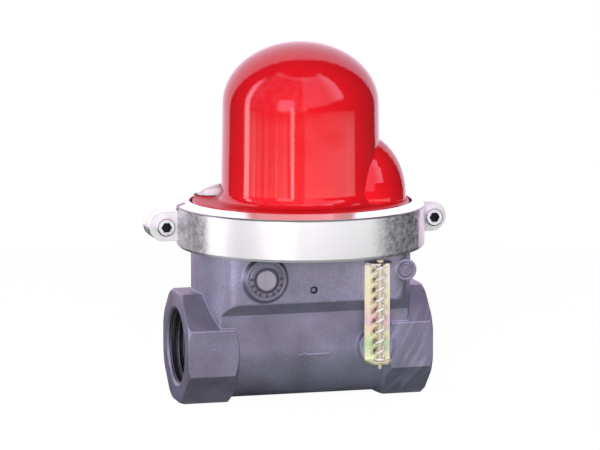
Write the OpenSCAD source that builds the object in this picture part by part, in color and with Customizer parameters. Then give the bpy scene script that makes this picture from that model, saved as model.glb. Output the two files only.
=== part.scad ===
// Earthquake gas shutoff valve: a cast body with two pipe ports, a swing gate on the reset shaft,
// a weight on a pedestal that lifts the gate's holding magnet when it tips, a red dome over it,
// a two-piece clamp ring and a spring plunger in a plated bracket.
// X runs along the pipe with the gas flowing towards -X, -Y is the front, Z is up.
// The origin is on the dome's axis at the height of the ports' lowest flats.

/* [Pipe ends] */
// Distance across two flats of the octagonal ends
end_flats = 48; // [46:0.5:54]
// Dome axis to the left end face
end_left = 56.3; // [52:0.5:64]
// Dome axis to the right end face
end_right = 53.4; // [50:0.5:60]
// Length of the octagon on the left end
collar_left = 20.5; // [18:0.5:22]
// Length of the octagon on the right end
collar_right = 18.5; // [17:0.5:20]
// Radius of the port's thread wall
port_r = 15.8; // [14:0.1:16.5]
// Length of the port's thread wall
port_len = 18; // [14:0.5:19]
// Chamfer at the port's mouth
port_chamfer = 1.5; // [0.5:0.1:2]
// Radius of the gas passage between a port and the chamber
passage_r = 13.5; // [12:0.1:14.5]
// Edge break on the octagon's corners
collar_break = 1.2; // [0.5:0.1:2]

/* [Body] */
// Radius of the round barrel between the ends
barrel_r = 23.3; // [22.5:0.1:24]
// Radius of the round housing under the ring
bowl_r = 48; // [45:0.1:54]
// Dome axis to the housing's flat front
front_y = 28.5; // [27:0.1:30]
// Radius of the housing's upright corners
corner_r = 8; // [4:0.5:10]
// Height of the ledge's lower edge
ledge_z = 40.1; // [38:0.1:42]
// Wall of the casting
wall = 3.8; // [3:0.1:4.5]
// Height of the flange's underside
flange_z = 69; // [66:0.5:74]
// Thickness of the body's flange
flange_t = 8; // [7:0.5:9]
// How far the two clamped flanges stand out past the housing
flange_out = 3; // [2.7:0.1:4]
// Dome axis to the index screw on the front, along the pipe
index_x = 1.8; // [0:0.1:6]
// Height of the index screw
index_z = 50.7; // [49:0.1:56]
// Radius of the index screw's hole
index_r = 1.6; // [1.3:0.1:2]

/* [Gate] */
// Radius of the seat's hole
seat_r = 12.5; // [11:0.1:13]
// Wall of the seat ring
seat_wall = 3; // [2:0.1:3.5]
// Dome axis to the seat's lip
seat_x = 19; // [17.5:0.1:20]
// Length of the seat ring
seat_len = 7; // [5:0.5:8]
// How far the seat's lip stands out of the partition
seat_lip = 1; // [0.5:0.1:1.5]
// Radius of the gate disc
gate_r = 15.2; // [14.8:0.1:16]
// Thickness of the gate disc
gate_t = 3.2; // [2.5:0.1:3.6]
// Thickness of the rubber seal
seal_t = 2.2; // [1.5:0.1:2.4]
// Thickness of the gate's arm
arm_t = 3.5; // [2.5:0.1:4]
// Width of the gate's arm
arm_w = 9; // [7:0.5:11]
// Angle between the closed gate and the open one
gate_open = 72; // [66:1:74]
// Height of the nut on the gate's stud
gate_nut_h = 2.5; // [2:0.1:3]

/* [Reset shaft] */
// Dome axis to the shaft, along the pipe
shaft_x = 23.5; // [22.5:0.1:25]
// Shaft's axis to the flange's underside
shaft_down = 12.8; // [12:0.1:14]
// Radius of the shaft
shaft_r = 4.4; // [3.8:0.05:4.6]
// How far the shaft's end stands out of its boss
shaft_proud = 0.5; // [0.1:0.1:1]
// Radius of the round boss where it meets the front
boss_r = 10.4; // [10:0.05:11]
// How much the boss narrows towards its face
boss_draft = 1.5; // [0.5:0.1:2]
// Height of the round boss
boss_h = 2.8; // [1.5:0.1:3.5]
// Wall of the bush round the shaft
bush_wall = 1.15; // [0.8:0.05:1.6]
// Length of the hub on the shaft
hub_len = 12; // [10:0.5:14]
// Radius of the hub
hub_r = 7.2; // [6.8:0.1:7.6]

/* [Trip lever] */
// Gap between the lever's hub and the housing's wall
lever_play = 1.4; // [0.8:0.1:2.5]
// Height of the long arm's underside above the lever's pin
lever_drop = 8.5; // [8:0.1:9.5]
// Room above the lever for its lift
lever_room = 5; // [4.5:0.1:6]
// Radius of the lever's pin
lever_pin_r = 1.6; // [1.2:0.1:1.8]
// Radius of the lever's hub
lever_hub_r = 3.7; // [3.2:0.1:3.8]
// Width of the lever
lever_w = 8; // [6:0.5:9]
// Thickness of the lever's arm
lever_t = 3; // [2.5:0.1:3.5]
// Radius of the magnet
magnet_r = 3.5; // [2.5:0.1:3.6]
// Thickness of the magnet
magnet_t = 3.5; // [2.5:0.1:4]
// Radius of the boss round the pin's plug
plug_boss_r = 4.8; // [4.2:0.1:5.2]
// Radius of the plug
plug_r = 3.4; // [3:0.05:3.7]

/* [Quake weight] */
// Radius of the weight
mass_r = 17; // [15.5:0.1:18]
// Height of the weight
mass_h = 38; // [30:0.5:44]
// Largest tip of the weight
mass_tip = 12; // [8:0.5:12]
// Height of the pedestal above its plate
pedestal_h = 15; // [13:0.5:18]
// Radius of the pedestal's top
pedestal_r = 16; // [15:0.1:16.5]
// Radius of the pedestal's foot
foot_r = 28.5; // [28:0.1:30]
// Thickness of the pedestal's foot
foot_t = 2.5; // [2:0.1:3]
// Thickness of the mechanism plate
plate_t = 2.5; // [2:0.1:3]
// How far the mechanism plate stays inside the flange's edge
plate_in = 5; // [4:0.1:6]
// Radius of the pull rod
rod_r = 1.2; // [1:0.1:1.5]
// Height of the guard's ring above the pedestal
guard_h = 30; // [26:0.5:30]
// Radius of the guard's posts
post_r = 1.6; // [1.2:0.1:1.7]

/* [Dome] */
// Outer radius of the dome at its foot
dome_r = 34.85; // [34:0.05:36]
// How much the dome's wall leans in up to its cap
dome_lean = 0.7; // [0:0.05:1.5]
// Height of the dome's wall between its flange and its cap
dome_h = 41.6; // [36:0.1:48]
// Height of the cap
cap_h = 27; // [22:0.5:32]
// Wall of the dome
dome_wall = 2.5; // [2:0.1:3]
// Thickness of the dome's flange under the ring's lip
dome_flange_t = 4.55; // [4:0.05:6]
// How far the rim inside the ring's lip stands out of it
rim_proud = 2.3; // [1.8:0.1:3]
// Gap between that rim and the ring's lip
rim_gap = 1; // [0.5:0.1:2]
// Rounding of the dome's foot
foot_fillet = 4.2; // [2:0.1:5]
// Radius of the side bulge
bulge_r = 21.6; // [20:0.05:21.7]
// Height of the side bulge
bulge_h = 27; // [22:0.5:30]
// Height of the bulge's straight wall
bulge_foot = 2; // [1:0.1:2.6]
// Gap between the bulge's foot and the edge of the rim
bulge_edge = 1.55; // [1.2:0.05:3]
// Turn of the bulge about the dome's axis
bulge_turn = -15; // [-40:1:20]
// Thickness of the gasket
gasket_t = 1; // [0.8:0.1:1.5]

/* [Clamp ring] */
// Wall of the ring outside the flanges
ring_wall = 2.6; // [1.8:0.05:3]
// How far the ring's lips reach in from that wall
lip_in = 3; // [2.7:0.05:3.3]
// Thickness of the ring's upper lip
lip_t = 2.1; // [1.8:0.05:2.6]
// How much higher that lip stands at its inner edge
lip_rise = 1.9; // [1:0.1:2.2]
// Thickness of the ring's lower lip
lip_low_t = 2.45; // [2:0.05:3]
// Gap between the two halves at the lugs
ring_gap = 1.2; // [0.8:0.1:2]
// Dome axis to the front edge of that gap
gap_y = 7; // [6:0.1:11]
// Radius of the lugs
lug_r = 6.6; // [6:0.1:7]
// Ring's outside to the clamp screws
lug_out = 6.4; // [6:0.05:8]
// Radius of the clamp screws
screw_r = 2.4; // [2:0.1:2.6]
// Radius of their heads
screw_head_r = 3.9; // [3.5:0.1:4.2]
// Height of their heads
screw_head_h = 4.8; // [4:0.1:5]

/* [Level] */
// Radius of the level
level_r = 6.1; // [5.5:0.1:6.3]
// Height of the cup that holds its liquid
level_h = 2.4; // [2:0.1:3]
// Gap between the level and the edge of the ring's lip
level_edge = 1.3; // [0.5:0.1:1.8]
// Wall of the level's clear lens
lens_wall = 1.1; // [0.8:0.1:1.5]
// Height of the lens above the cup
lens_h = 5; // [3:0.1:6]
// Depth of the level's pocket in the dome's flange
level_sink = 1.6; // [1:0.1:2]
// Turn of the level about the dome's axis
level_turn = 152; // [120:1:170]

/* [Spring plunger] */
// Gap between the bracket and the boss of the lever's plug
bracket_gap = 2.55; // [1:0.05:4]
// Width of the bracket
bracket_w = 11.3; // [10:0.1:13]
// Thickness of the bracket's sheet
sheet_t = 1.2; // [1:0.1:1.5]
// Height of the bracket's lower end
bracket_z = 18.4; // [17.5:0.1:19]
// Room between the plunger's head and the flange when it is up
head_room = 0.6; // [0.4:0.1:1.5]
// Depth of the bracket's tabs
tab_d = 8.8; // [8.2:0.1:10]
// Bracket's face to the plunger's axis
rod_out = 4.2; // [3.8:0.1:4.6]
// Radius of the plunger's rod
plunger_r = 0.9; // [0.7:0.05:1.2]
// Travel of the plunger
plunger_travel = 4.5; // [3:0.1:5]
// Play of the plunger's rod in its spring
coil_play = 0.2; // [0.15:0.05:0.4]
// Wire radius of the plunger's spring
wire_r = 0.5; // [0.35:0.05:0.6]
// Turns of the plunger's spring
coil_turns = 9; // [7:1:10]
// Radius of the round boss behind the bracket
test_boss_r = 7.5; // [6.5:0.1:8.5]

/* [Hidden] */
$fn = 96;

// Clearances
moving_gap = 0.3;
run_gap = 0.05;
seat_gap = 0.05;

// Small screws
small_r = 1.5;
small_head_r = 2.8;
small_head_h = 1.4;
small_slot = 0.6;

// Ends and body
axis_z = end_flats / 2;
corner_of_end = axis_z / cos(22.5);
shoulder_in = 3;
body_top = flange_z + flange_t;
flange_r = bowl_r + flange_out;
flange_slope = 1;
slope_in = 2.4;
ledge_out = front_y - barrel_r;
corner_y = front_y - corner_r;
corner_x = sqrt(pow(bowl_r - corner_r, 2) - pow(corner_y, 2));
band_y = corner_y * bowl_r / (bowl_r - corner_r);

// Chamber
bowl_in = bowl_r - wall + 0.2;
front_in = front_y - wall - 0.2;
barrel_in = barrel_r - wall;
floor_z = axis_z + passage_r + wall;
chamber_right = end_right - port_len - 2.4;
partition_x = seat_x + seat_lip;
plate_z = body_top - plate_t;
plate_r = flange_r - plate_in;
plate_screw_d = plate_r - small_head_r - 2;
plate_screw_turn = 61;
plate_screw_deep = 4.6;

// Gate, drawn closed and then lifted about the shaft
shaft_z = flange_z - shaft_down;
seal_x = -seat_x + moving_gap;
disc_x = seal_x + seal_t;
arm_x = disc_x + gate_t;
nut_x = arm_x + arm_t;
nut_r = 4.4;
stud_r = 2.2;
armature_down = axis_z - gate_r + 4;
front_face = front_y + boss_h;
bearing_len = 5.6;
inner_boss_y = front_in - bearing_len;
bore_end = front_y - 1.5;
spring_wire = 0.6;
spring_mean = hub_r - spring_wire;
spring_turns = 6;
bush_r = shaft_r + bush_wall;
bush_sunk = 1.2;
slot_w = 1;
slot_deep = 0.4;
groove_r = bush_r + 1.8;
groove_w = 0.5;
groove_deep = 0.35;

// Trip lever
lever_x = bowl_in - lever_hub_r - lever_play;
lever_arm_z = plate_z - lever_room - lever_t;
lever_z = lever_arm_z - lever_drop;
latch_tilt = 90 - gate_open;
armature_reach = shaft_z - armature_down;
armature_side = nut_x + shaft_x;
latch_x = -shaft_x + armature_side * cos(gate_open) + armature_reach * sin(gate_open);
latch_z = shaft_z + armature_side * sin(gate_open) - armature_reach * cos(gate_open);
cup_wall = 0.8;
arm_root = 2.4;
cup_r = magnet_r + cup_wall;
cup_len = (lever_arm_z - latch_z - moving_gap) / cos(latch_tilt) + 1;
rod_hole = rod_r + 1.4;
lever_end_r = rod_hole + 2;
lever_knee_x = latch_x + cup_len * sin(latch_tilt) + cup_r / cos(latch_tilt) + 1.5;
plug_depth = 2;
plug_proud = 0.5;
plug_boss_y = front_y + 0.5;

// Weight
pedestal_top = body_top + pedestal_h;
pedestal_flare = 3;
pedestal_bore = 7;
pedestal_screw_d = (pedestal_r + pedestal_flare + foot_r) / 2;
rim_w = 2;
rim_deep = 0.8;
centre_r = 9;
mass_z = pedestal_top + moving_gap;
mass_break = 1.5;
mass_groove = 1.2;
mass_bore_r = 2.5;
mass_bore = 8;
socket_room = 12;
socket_t = 2;
socket_hole = 3;
head_gap = 1.3;
rod_head_r = 4;
rod_head_t = 1.2;
socket_r = rod_head_r + 2.2;
rod_head_z = mass_z + socket_t + head_gap;
foot_gap = 0.7;
rod_foot_r = rod_hole + 1;
rod_foot_z = lever_arm_z - foot_gap - rod_head_t;
collar_z = body_top + foot_t + moving_gap;
plate_hole = 2 * rod_r + 1.6;
guard_reach = pedestal_r + (mass_r - pedestal_r) / cos(mass_tip) + guard_h * tan(mass_tip);
guard_in = guard_reach + moving_gap;
guard_w = 3.4;
guard_t = 4;
post_d = guard_in + guard_w / 2;
vent_r = 1.3;
vent_d = (foot_r + dome_r - dome_wall) / 2;

// Dome and ring
dome_flange_bottom = body_top + gasket_t;
dome_lip_z = dome_flange_bottom + dome_flange_t;
ring_wall_in = flange_r + 0.6;
ring_r = ring_wall_in + ring_wall;
lip_r = ring_wall_in - lip_in;
ring_z = flange_z - seat_gap - lip_low_t;
ring_top = dome_lip_z + seat_gap + lip_t;
ring_break = 1.2;
dome_flange_z = ring_top + rim_proud;
rim_r = lip_r - rim_gap;
dome_top_r = dome_r - dome_lean;
cap_z = dome_flange_z + dome_h;
cap_steps = 20;
bulge_d = rim_r - bulge_edge - bulge_r;
bulge_steps = 12;
lug_x = ring_r + lug_out;
screw_z = (ring_z + ring_top) / 2 + 0.8;
head_y = gap_y - screw_head_h;
rear_lug = 6.7;
hex_r = screw_r * 0.96;
hex_deep = 2.6;
level_d = lip_r - level_edge - level_r;
level_pocket = dome_flange_z - level_sink;
level_seat = level_pocket - 0.8;
level_rise = level_sink + 1.1;
level_cup_r = level_r - lens_wall - seat_gap;
lens_round = 22;
lens_lean = 9;

// Plunger
boss_z = axis_z + 0.6;
head_r = 1.6;
head_h = 1.2;
bracket_x = lever_x - plug_boss_r - bracket_gap - bracket_w / 2;
bracket_top = flange_z - head_room - plunger_travel - head_h - moving_gap;
plate_y = front_y + sheet_t;
rod_y = plate_y + rod_out;
tab_front = 6;
tab_round = 1.6;
coil_r = plunger_r + coil_play + wire_r;
clip_r = coil_r + wire_r + 0.15;
clip_t = 0.8;
spring_low = bracket_z + sheet_t + moving_gap + clip_t;
spring_high = bracket_top - sheet_t;
tip_out = 2.6;
tip_z = bracket_z - tip_out;
tip_break = 0.4;
head_z = bracket_top + moving_gap;
head_break = 0.5;
upper_screw_z = bracket_top - 11.9;
flat_head_r = 2.4;
flat_shank_r = 1.3;
index_len = 2.9;
flat_head_h = 1;
bracket_screw_len = 4;

// A cylinder that points along +X from x
module bar_x(x, y, z, r, len) {
    translate([x, y, z]) rotate([0, 90, 0]) cylinder(r = r, h = len);
}

// A cylinder that points from the front at y towards the back
module bar_y(x, y, z, r, len) {
    translate([x, y, z]) rotate([-90, 0, 0]) cylinder(r = r, h = len);
}

// A cone that points along +X from x
module cone_x(x, z, r1, r2, len) {
    translate([x, 0, z]) rotate([0, 90, 0]) cylinder(r1 = r1, r2 = r2, h = len);
}

// An octagonal end drawn from its face at x = 0 towards +X, with its edges broken at both ends
module octagon_end(len) {
    flat_r = axis_z;
    translate([0, 0, axis_z])
        rotate([0, 90, 0])
            intersection() {
                rotate([0, 0, 22.5]) cylinder(r = corner_of_end, h = len + shoulder_in, $fn = 8);
                union() {
                    cylinder(r1 = corner_of_end - collar_break, r2 = corner_of_end + 0.2, h = 1.6);
                    translate([0, 0, 1.6]) cylinder(r = corner_of_end + 0.2, h = len - 1.6);
                    translate([0, 0, len])
                        cylinder(r1 = corner_of_end + 0.2, r2 = flat_r - 1.4, h = shoulder_in);
                }
            }
}

// Outline of the housing seen from above: a circle cut by two flats with rounded corners
module housing_plan(low, high) {
    translate([0, 0, low]) {
        intersection() {
            cylinder(r = bowl_r, h = high - low);
            translate([-bowl_r, -band_y, 0]) cube([2 * bowl_r, 2 * band_y, high - low]);
        }
        translate([-corner_x, -front_y, 0]) cube([2 * corner_x, 2 * front_y, high - low]);
        for (sx = [-1, 1], sy = [-1, 1])
            translate([sx * corner_x, sy * corner_y, 0]) cylinder(r = corner_r, h = high - low);
    }
}

// Cross-section of the housing along the pipe: upright sides, then the ledge, then the wider part
module ledge_profile(side, out, low, bend, top) {
    reach = bowl_r + 2;
    rotate([90, 0, 90])
        translate([0, 0, -reach])
            linear_extrude(height = 2 * reach)
                polygon([[-side, low], [-side, bend], [-side - out, bend + out], [-side - out, top],
                    [side + out, top], [side + out, bend + out], [side, bend], [side, low]]);
}

module body_outside() {
    translate([-end_left, 0, 0]) octagon_end(collar_left);
    translate([end_right, 0, 0]) mirror([1, 0, 0]) octagon_end(collar_right);
    bar_x(-end_left + collar_left, 0, axis_z, barrel_r, end_left + end_right - collar_left - collar_right);
    intersection() {
        housing_plan(axis_z, flange_z + 1);
        ledge_profile(barrel_r, ledge_out, axis_z, ledge_z, flange_z + 1);
    }
    translate([0, 0, flange_z]) cylinder(r1 = flange_r - slope_in, r2 = flange_r, h = flange_slope);
    translate([0, 0, flange_z + flange_slope]) cylinder(r = flange_r, h = flange_t - flange_slope);
    translate([-shaft_x, -front_face, shaft_z])
        rotate([-90, 0, 0]) cylinder(r1 = boss_r - boss_draft, r2 = boss_r, h = boss_h + 0.01);
    bar_y(lever_x, -plug_boss_y, lever_z, plug_boss_r, plug_boss_y - lever_w - 4);
    bar_y(bracket_x, -front_y, boss_z, test_boss_r, front_y - barrel_r + 3);
}

module body_chamber() {
    intersection() {
        translate([0, 0, 1]) cylinder(r = bowl_in, h = body_top);
        union() {
            ledge_profile(barrel_in, front_in - barrel_in, floor_z, floor_z, body_top + 1);
            intersection() {
                ledge_profile(barrel_in, front_in - barrel_in, axis_z, ledge_z + 2, body_top + 1);
                translate([-partition_x, -bowl_r, 0])
                    cube([partition_x + chamber_right, 2 * bowl_r, body_top + 2]);
            }
        }
    }
    bar_x(-partition_x, 0, axis_z, barrel_in, partition_x + chamber_right);
}

module valve_body() {
    color("#5d5a6b")
    difference() {
        union() {
            difference() {
                body_outside();
                body_chamber();
            }
            // Bearings for the shaft, inside the front and rear walls
            bar_y(-shaft_x, -front_in - 1, shaft_z, hub_r + 0.8, front_in + 1 - inner_boss_y);
            bar_y(-shaft_x, inner_boss_y, shaft_z, hub_r + 0.8, front_in + 1 - inner_boss_y);
        }
        // Left port, passage and the hole for the seat ring
        cone_x(-end_left - 0.01, axis_z, port_r + port_chamfer, port_r, port_chamfer);
        bar_x(-end_left - 1, 0, axis_z, port_r, port_len + 1);
        bar_x(-end_left + 1, 0, axis_z, passage_r, end_left - partition_x);
        bar_x(-partition_x - seat_len + seat_lip, 0, axis_z, seat_r + seat_wall + seat_gap, seat_len);
        // Right port and passage
        cone_x(end_right - port_chamfer + 0.01, axis_z, port_r, port_r + port_chamfer, port_chamfer);
        bar_x(end_right - port_len, 0, axis_z, port_r, port_len + 1);
        bar_x(chamber_right - 1, 0, axis_z, passage_r, end_right - chamber_right);
        // Shaft bore through the front wall and blind into the rear one, and the recess round the bush
        bar_y(-shaft_x, -front_face - 1, shaft_z, bush_r + seat_gap, front_face + 1 - front_in + 3);
        bar_y(-shaft_x, -front_face - 1, shaft_z, shaft_r + run_gap, front_face + 1 + bore_end);
        // Groove turned in the boss's face
        difference() {
            bar_y(-shaft_x, -front_face - 1, shaft_z, groove_r + groove_w, 1 + groove_deep);
            bar_y(-shaft_x, -front_face - 2, shaft_z, groove_r, 3 + groove_deep);
        }
        // Lever pin bore and the seat of its plug
        bar_y(lever_x, -plug_boss_y - 1, lever_z, lever_pin_r + seat_gap, plug_boss_y + front_in);
        bar_y(lever_x, -plug_boss_y - 1, lever_z, plug_r + seat_gap, plug_depth + 1);
        // Step for the mechanism plate and its screw holes
        translate([0, 0, plate_z]) cylinder(r = plate_r, h = plate_t + 1);
        plate_screw_places()
            translate([0, 0, plate_z - plate_screw_deep - 0.4])
                cylinder(r = small_r + seat_gap, h = plate_screw_deep + 1);
        // Screw holes of the bracket and of the small front screw
        for (z = [boss_z, upper_screw_z])
            bar_y(bracket_x, -front_y - 1, z, flat_shank_r + seat_gap, bracket_screw_len);
        bar_y(-index_x, -front_y - 1, index_z, index_r + seat_gap, index_len + 1);
    }
}

module plate_screw_places() {
    for (turn = [plate_screw_turn, 180 - plate_screw_turn, 180 + plate_screw_turn, -plate_screw_turn])
        rotate([0, 0, turn]) translate([plate_screw_d, 0, 0]) children();
}

// Puts the gate's pieces, drawn closed, in the open place
module lifted() {
    translate([-shaft_x, 0, shaft_z])
        rotate([0, -gate_open, 0])
            translate([shaft_x, 0, -shaft_z])
                children();
}

module valve_seat() {
    color("#b9974f")
    difference() {
        union() {
            bar_x(-seat_x - seat_len, 0, axis_z, seat_r + seat_wall, seat_len - 1);
            cone_x(-seat_x - 1, axis_z, seat_r + seat_wall, seat_r + seat_wall - 1.6, 1);
        }
        bar_x(-seat_x - seat_len - 1, 0, axis_z, seat_r, seat_len + 2);
    }
}

module gate_seal() {
    color("#2b2b2b")
    lifted()
    difference() {
        bar_x(seal_x, 0, axis_z, gate_r - 0.4, seal_t);
        bar_x(seal_x - 1, 0, axis_z, stud_r + seat_gap, seal_t + 2);
    }
}

module gate_disc() {
    color("#b9974f")
    lifted()
    union() {
        difference() {
            union() {
                bar_x(disc_x, 0, axis_z, gate_r, gate_t - 1);
                cone_x(disc_x + gate_t - 1, axis_z, gate_r, gate_r - 1, 1);
            }
            // Shallow dish behind the rim
            difference() {
                bar_x(disc_x + gate_t - 0.8, 0, axis_z, gate_r - 2.6, 1);
                bar_x(disc_x + gate_t - 0.9, 0, axis_z, arm_w / 2 + 1.4, 1.2);
            }
        }
        // Stud through the seal and the arm
        bar_x(seal_x, 0, axis_z, stud_r, nut_x + gate_nut_h - seal_x + 0.3);
    }
}

module gate_arm() {
    color("#8d9096")
    lifted()
    difference() {
        union() {
            bar_y(-shaft_x, -hub_len / 2, shaft_z, hub_r, hub_len);
            // Web from the hub to the blade
            translate([-shaft_x, -arm_w / 2, shaft_z - 6]) cube([nut_x + shaft_x, arm_w, 7]);
            translate([arm_x, -arm_w / 2, armature_down]) cube([arm_t, arm_w, shaft_z - 5 - armature_down]);
            bar_x(arm_x, 0, axis_z, arm_w / 2 + 1.2, arm_t);
            // Round end that the magnet holds
            bar_x(arm_x, 0, armature_down, arm_w / 2, arm_t);
        }
        bar_y(-shaft_x, -hub_len / 2 - 1, shaft_z, shaft_r + seat_gap, hub_len + 2);
        bar_x(arm_x - 1, 0, axis_z, stud_r + seat_gap, arm_t + 2);
        translate([-shaft_x, 0, shaft_z - hub_r - 1]) cylinder(r = 1 + seat_gap, h = 2 * hub_r + 2);
    }
}

module gate_nut() {
    color("#c9ccd1")
    lifted()
    difference() {
        translate([nut_x, 0, axis_z]) rotate([0, 90, 0]) cylinder(r = nut_r, h = gate_nut_h, $fn = 6);
        bar_x(nut_x - 1, 0, axis_z, stud_r + seat_gap, gate_nut_h + 2);
    }
}

module reset_shaft() {
    color("#c6c7ce")
    lifted()
    difference() {
        union() {
            bar_y(-shaft_x, -front_face - shaft_proud + 0.4, shaft_z, shaft_r, front_face + shaft_proud - 0.4 + bore_end - moving_gap);
            translate([-shaft_x, -front_face - shaft_proud, shaft_z])
                rotate([-90, 0, 0]) cylinder(r1 = shaft_r - 0.4, r2 = shaft_r, h = 0.4);
        }
        // Screwdriver slot
        translate([-shaft_x, -front_face - shaft_proud - 1, shaft_z])
            rotate([0, gate_open - 90, 0])
                translate([-shaft_r - 1, 0, -slot_w / 2]) cube([2 * shaft_r + 2, 1 + slot_deep, slot_w]);
        // Hole for the cross pin
        translate([-shaft_x, 0, shaft_z - hub_r - 1]) cylinder(r = 1 + seat_gap, h = 2 * hub_r + 2);
        // Groove of the shaft's seal
        difference() {
            bar_y(-shaft_x, -inner_boss_y - 2.6, shaft_z, shaft_r + 1, 1.8);
            bar_y(-shaft_x, -inner_boss_y - 3, shaft_z, shaft_r - 0.9, 2.6);
        }
    }
}

module hub_pin() {
    color("#9a9ca3")
    lifted() translate([-shaft_x, 0, shaft_z - hub_r + 0.3]) cylinder(r = 1, h = 2 * hub_r - 0.6, $fn = 32);
}

module reset_bush() {
    color("#3a3840")
    difference() {
        bar_y(-shaft_x, -front_face + bush_sunk, shaft_z, bush_r, front_face - bush_sunk - front_in + 3);
        bar_y(-shaft_x, -front_face, shaft_z, shaft_r + run_gap, front_face);
    }
}

module shaft_seal() {
    color("#222222")
    lifted()
    translate([-shaft_x, -inner_boss_y - 1.7, shaft_z])
        rotate([90, 0, 0])
            rotate_extrude() translate([shaft_r - 0.35, 0]) circle(r = 0.35, $fn = 24);
}

// Coil along +Z as one swept skin, with flat ends
module coil(mean, wire, height, turns, sides, steps) {
    total = turns * steps;
    points = [for (i = [0:total], j = [0:sides - 1])
        let (turn = 360 * i / steps, side = 360 * j / sides, reach = mean + wire * cos(side))
        [reach * cos(turn), reach * sin(turn), wire + (height - 2 * wire) * i / total + wire * sin(side)]];
    skin = [for (i = [0:total - 1], j = [0:sides - 1])
        let (a = i * sides + j, b = i * sides + (j + 1) % sides)
        [a, a + sides, b + sides, b]];
    start = [[for (j = [0:sides - 1]) j]];
    finish = [[for (j = [sides - 1:-1:0]) total * sides + j]];
    polyhedron(points = points, faces = concat(skin, start, finish));
}

module gate_spring() {
    color("#b8bbc2")
    translate([-shaft_x, -hub_len / 2 - moving_gap, shaft_z])
        rotate([90, 0, 0])
            coil(spring_mean, spring_wire, inner_boss_y - hub_len / 2 - 2 * moving_gap, spring_turns, 6, 16);
}

module lever_pin() {
    color("#9a9ca3")
    bar_y(lever_x, -plug_boss_y + plug_depth + 0.1, lever_z, lever_pin_r, plug_boss_y + front_in - plug_depth - 1.3);
}

module lever_plug() {
    color("#5b5668")
    difference() {
        union() {
            bar_y(lever_x, -plug_boss_y, lever_z, plug_r, plug_depth);
            translate([lever_x, -plug_boss_y - plug_proud, lever_z])
                rotate([-90, 0, 0]) cylinder(r1 = plug_r - 0.4, r2 = plug_r, h = plug_proud);
        }
        bar_y(lever_x, -plug_boss_y - plug_proud - 1, lever_z, plug_r - 1.1, 1.3);
    }
}

module trip_lever() {
    color("#a7a9ae")
    difference() {
        union() {
            bar_y(lever_x, -lever_w / 2, lever_z, lever_hub_r, lever_w);
            // Bent arm from the hub to the long arm
            rotate([90, 0, 0])
                translate([0, 0, -lever_w / 2])
                    linear_extrude(height = lever_w)
                        polygon([[lever_x - arm_root, lever_z - lever_hub_r + 1], [lever_knee_x - 1, lever_arm_z],
                            [0, lever_arm_z], [0, lever_arm_z + lever_t], [lever_knee_x + 1, lever_arm_z + lever_t],
                            [lever_x + 1.6, lever_z + lever_hub_r - 0.6]]);
            translate([0, 0, lever_arm_z]) cylinder(r = lever_end_r, h = lever_t);
        }
        bar_y(lever_x, -lever_w / 2 - 1, lever_z, lever_pin_r + run_gap, lever_w + 2);
        translate([0, 0, lever_arm_z - 1]) cylinder(r = rod_hole, h = lever_t + 2);
    }
}

// Places a piece drawn up the Z axis on the gate arm's held end, square to the arm
module on_latch() {
    translate([latch_x, 0, latch_z]) rotate([0, latch_tilt, 0]) translate([0, 0, moving_gap]) children();
}

module magnet_cup() {
    color("#7f838a")
    difference() {
        intersection() {
            on_latch() cylinder(r = cup_r, h = cup_len + 3);
            translate([-bowl_r, -bowl_r, 0]) cube([2 * bowl_r, 2 * bowl_r, lever_arm_z]);
        }
        on_latch() translate([0, 0, -1]) cylinder(r = magnet_r + seat_gap, h = magnet_t + 1);
    }
}

module latch_magnet() {
    color("#3c3f45")
    on_latch() cylinder(r = magnet_r, h = magnet_t);
}

module pull_rod() {
    color("#c9ccd1")
    union() {
        translate([0, 0, rod_foot_z]) cylinder(r = rod_foot_r, h = rod_head_t);
        translate([0, 0, rod_foot_z]) cylinder(r = rod_r, h = rod_head_z - rod_foot_z + 0.5);
        translate([0, 0, collar_z]) cylinder(r = 2 * rod_r, h = 1.2);
        translate([0, 0, rod_head_z]) cylinder(r = rod_head_r, h = rod_head_t);
        translate([0, 0, rod_head_z + rod_head_t]) cylinder(r1 = rod_head_r - 0.6, r2 = 1.6, h = 1);
    }
}

module mechanism_plate() {
    color("#9b9da3")
    difference() {
        translate([0, 0, plate_z]) cylinder(r = plate_r - seat_gap, h = plate_t);
        translate([0, 0, plate_z - 1]) cylinder(r = plate_hole, h = plate_t + 2);
        plate_screw_places() {
            translate([0, 0, plate_z - 1]) cylinder(r = small_r + seat_gap, h = plate_t + 2);
            translate([0, 0, body_top - small_head_h])
                cylinder(r1 = small_r + seat_gap, r2 = small_head_r + seat_gap, h = small_head_h + 0.01);
        }
        pedestal_screw_places()
            translate([0, 0, plate_z - 1]) cylinder(r = small_r + seat_gap, h = plate_t + 2);
        // Holes that let the gas reach the dome
        for (turn = [30, 150, 210, 330])
            rotate([0, 0, turn]) translate([vent_d, 0, plate_z - 1]) cylinder(r = vent_r, h = plate_t + 2);
    }
}

module plate_screws() {
    color("#c9ccd1")
    plate_screw_places()
        difference() {
            union() {
                translate([0, 0, plate_z - plate_screw_deep])
                    cylinder(r = small_r, h = plate_t + plate_screw_deep - 0.1);
                translate([0, 0, body_top - small_head_h])
                    cylinder(r1 = small_r, r2 = small_head_r, h = small_head_h);
            }
            translate([-small_head_r - 1, -small_slot / 2, body_top - small_slot])
                cube([2 * small_head_r + 2, small_slot, 2 * small_slot]);
        }
}

module pedestal_screw_places() {
    for (turn = [0:120:240]) rotate([0, 0, turn]) translate([pedestal_screw_d, 0, 0]) children();
}

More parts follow.
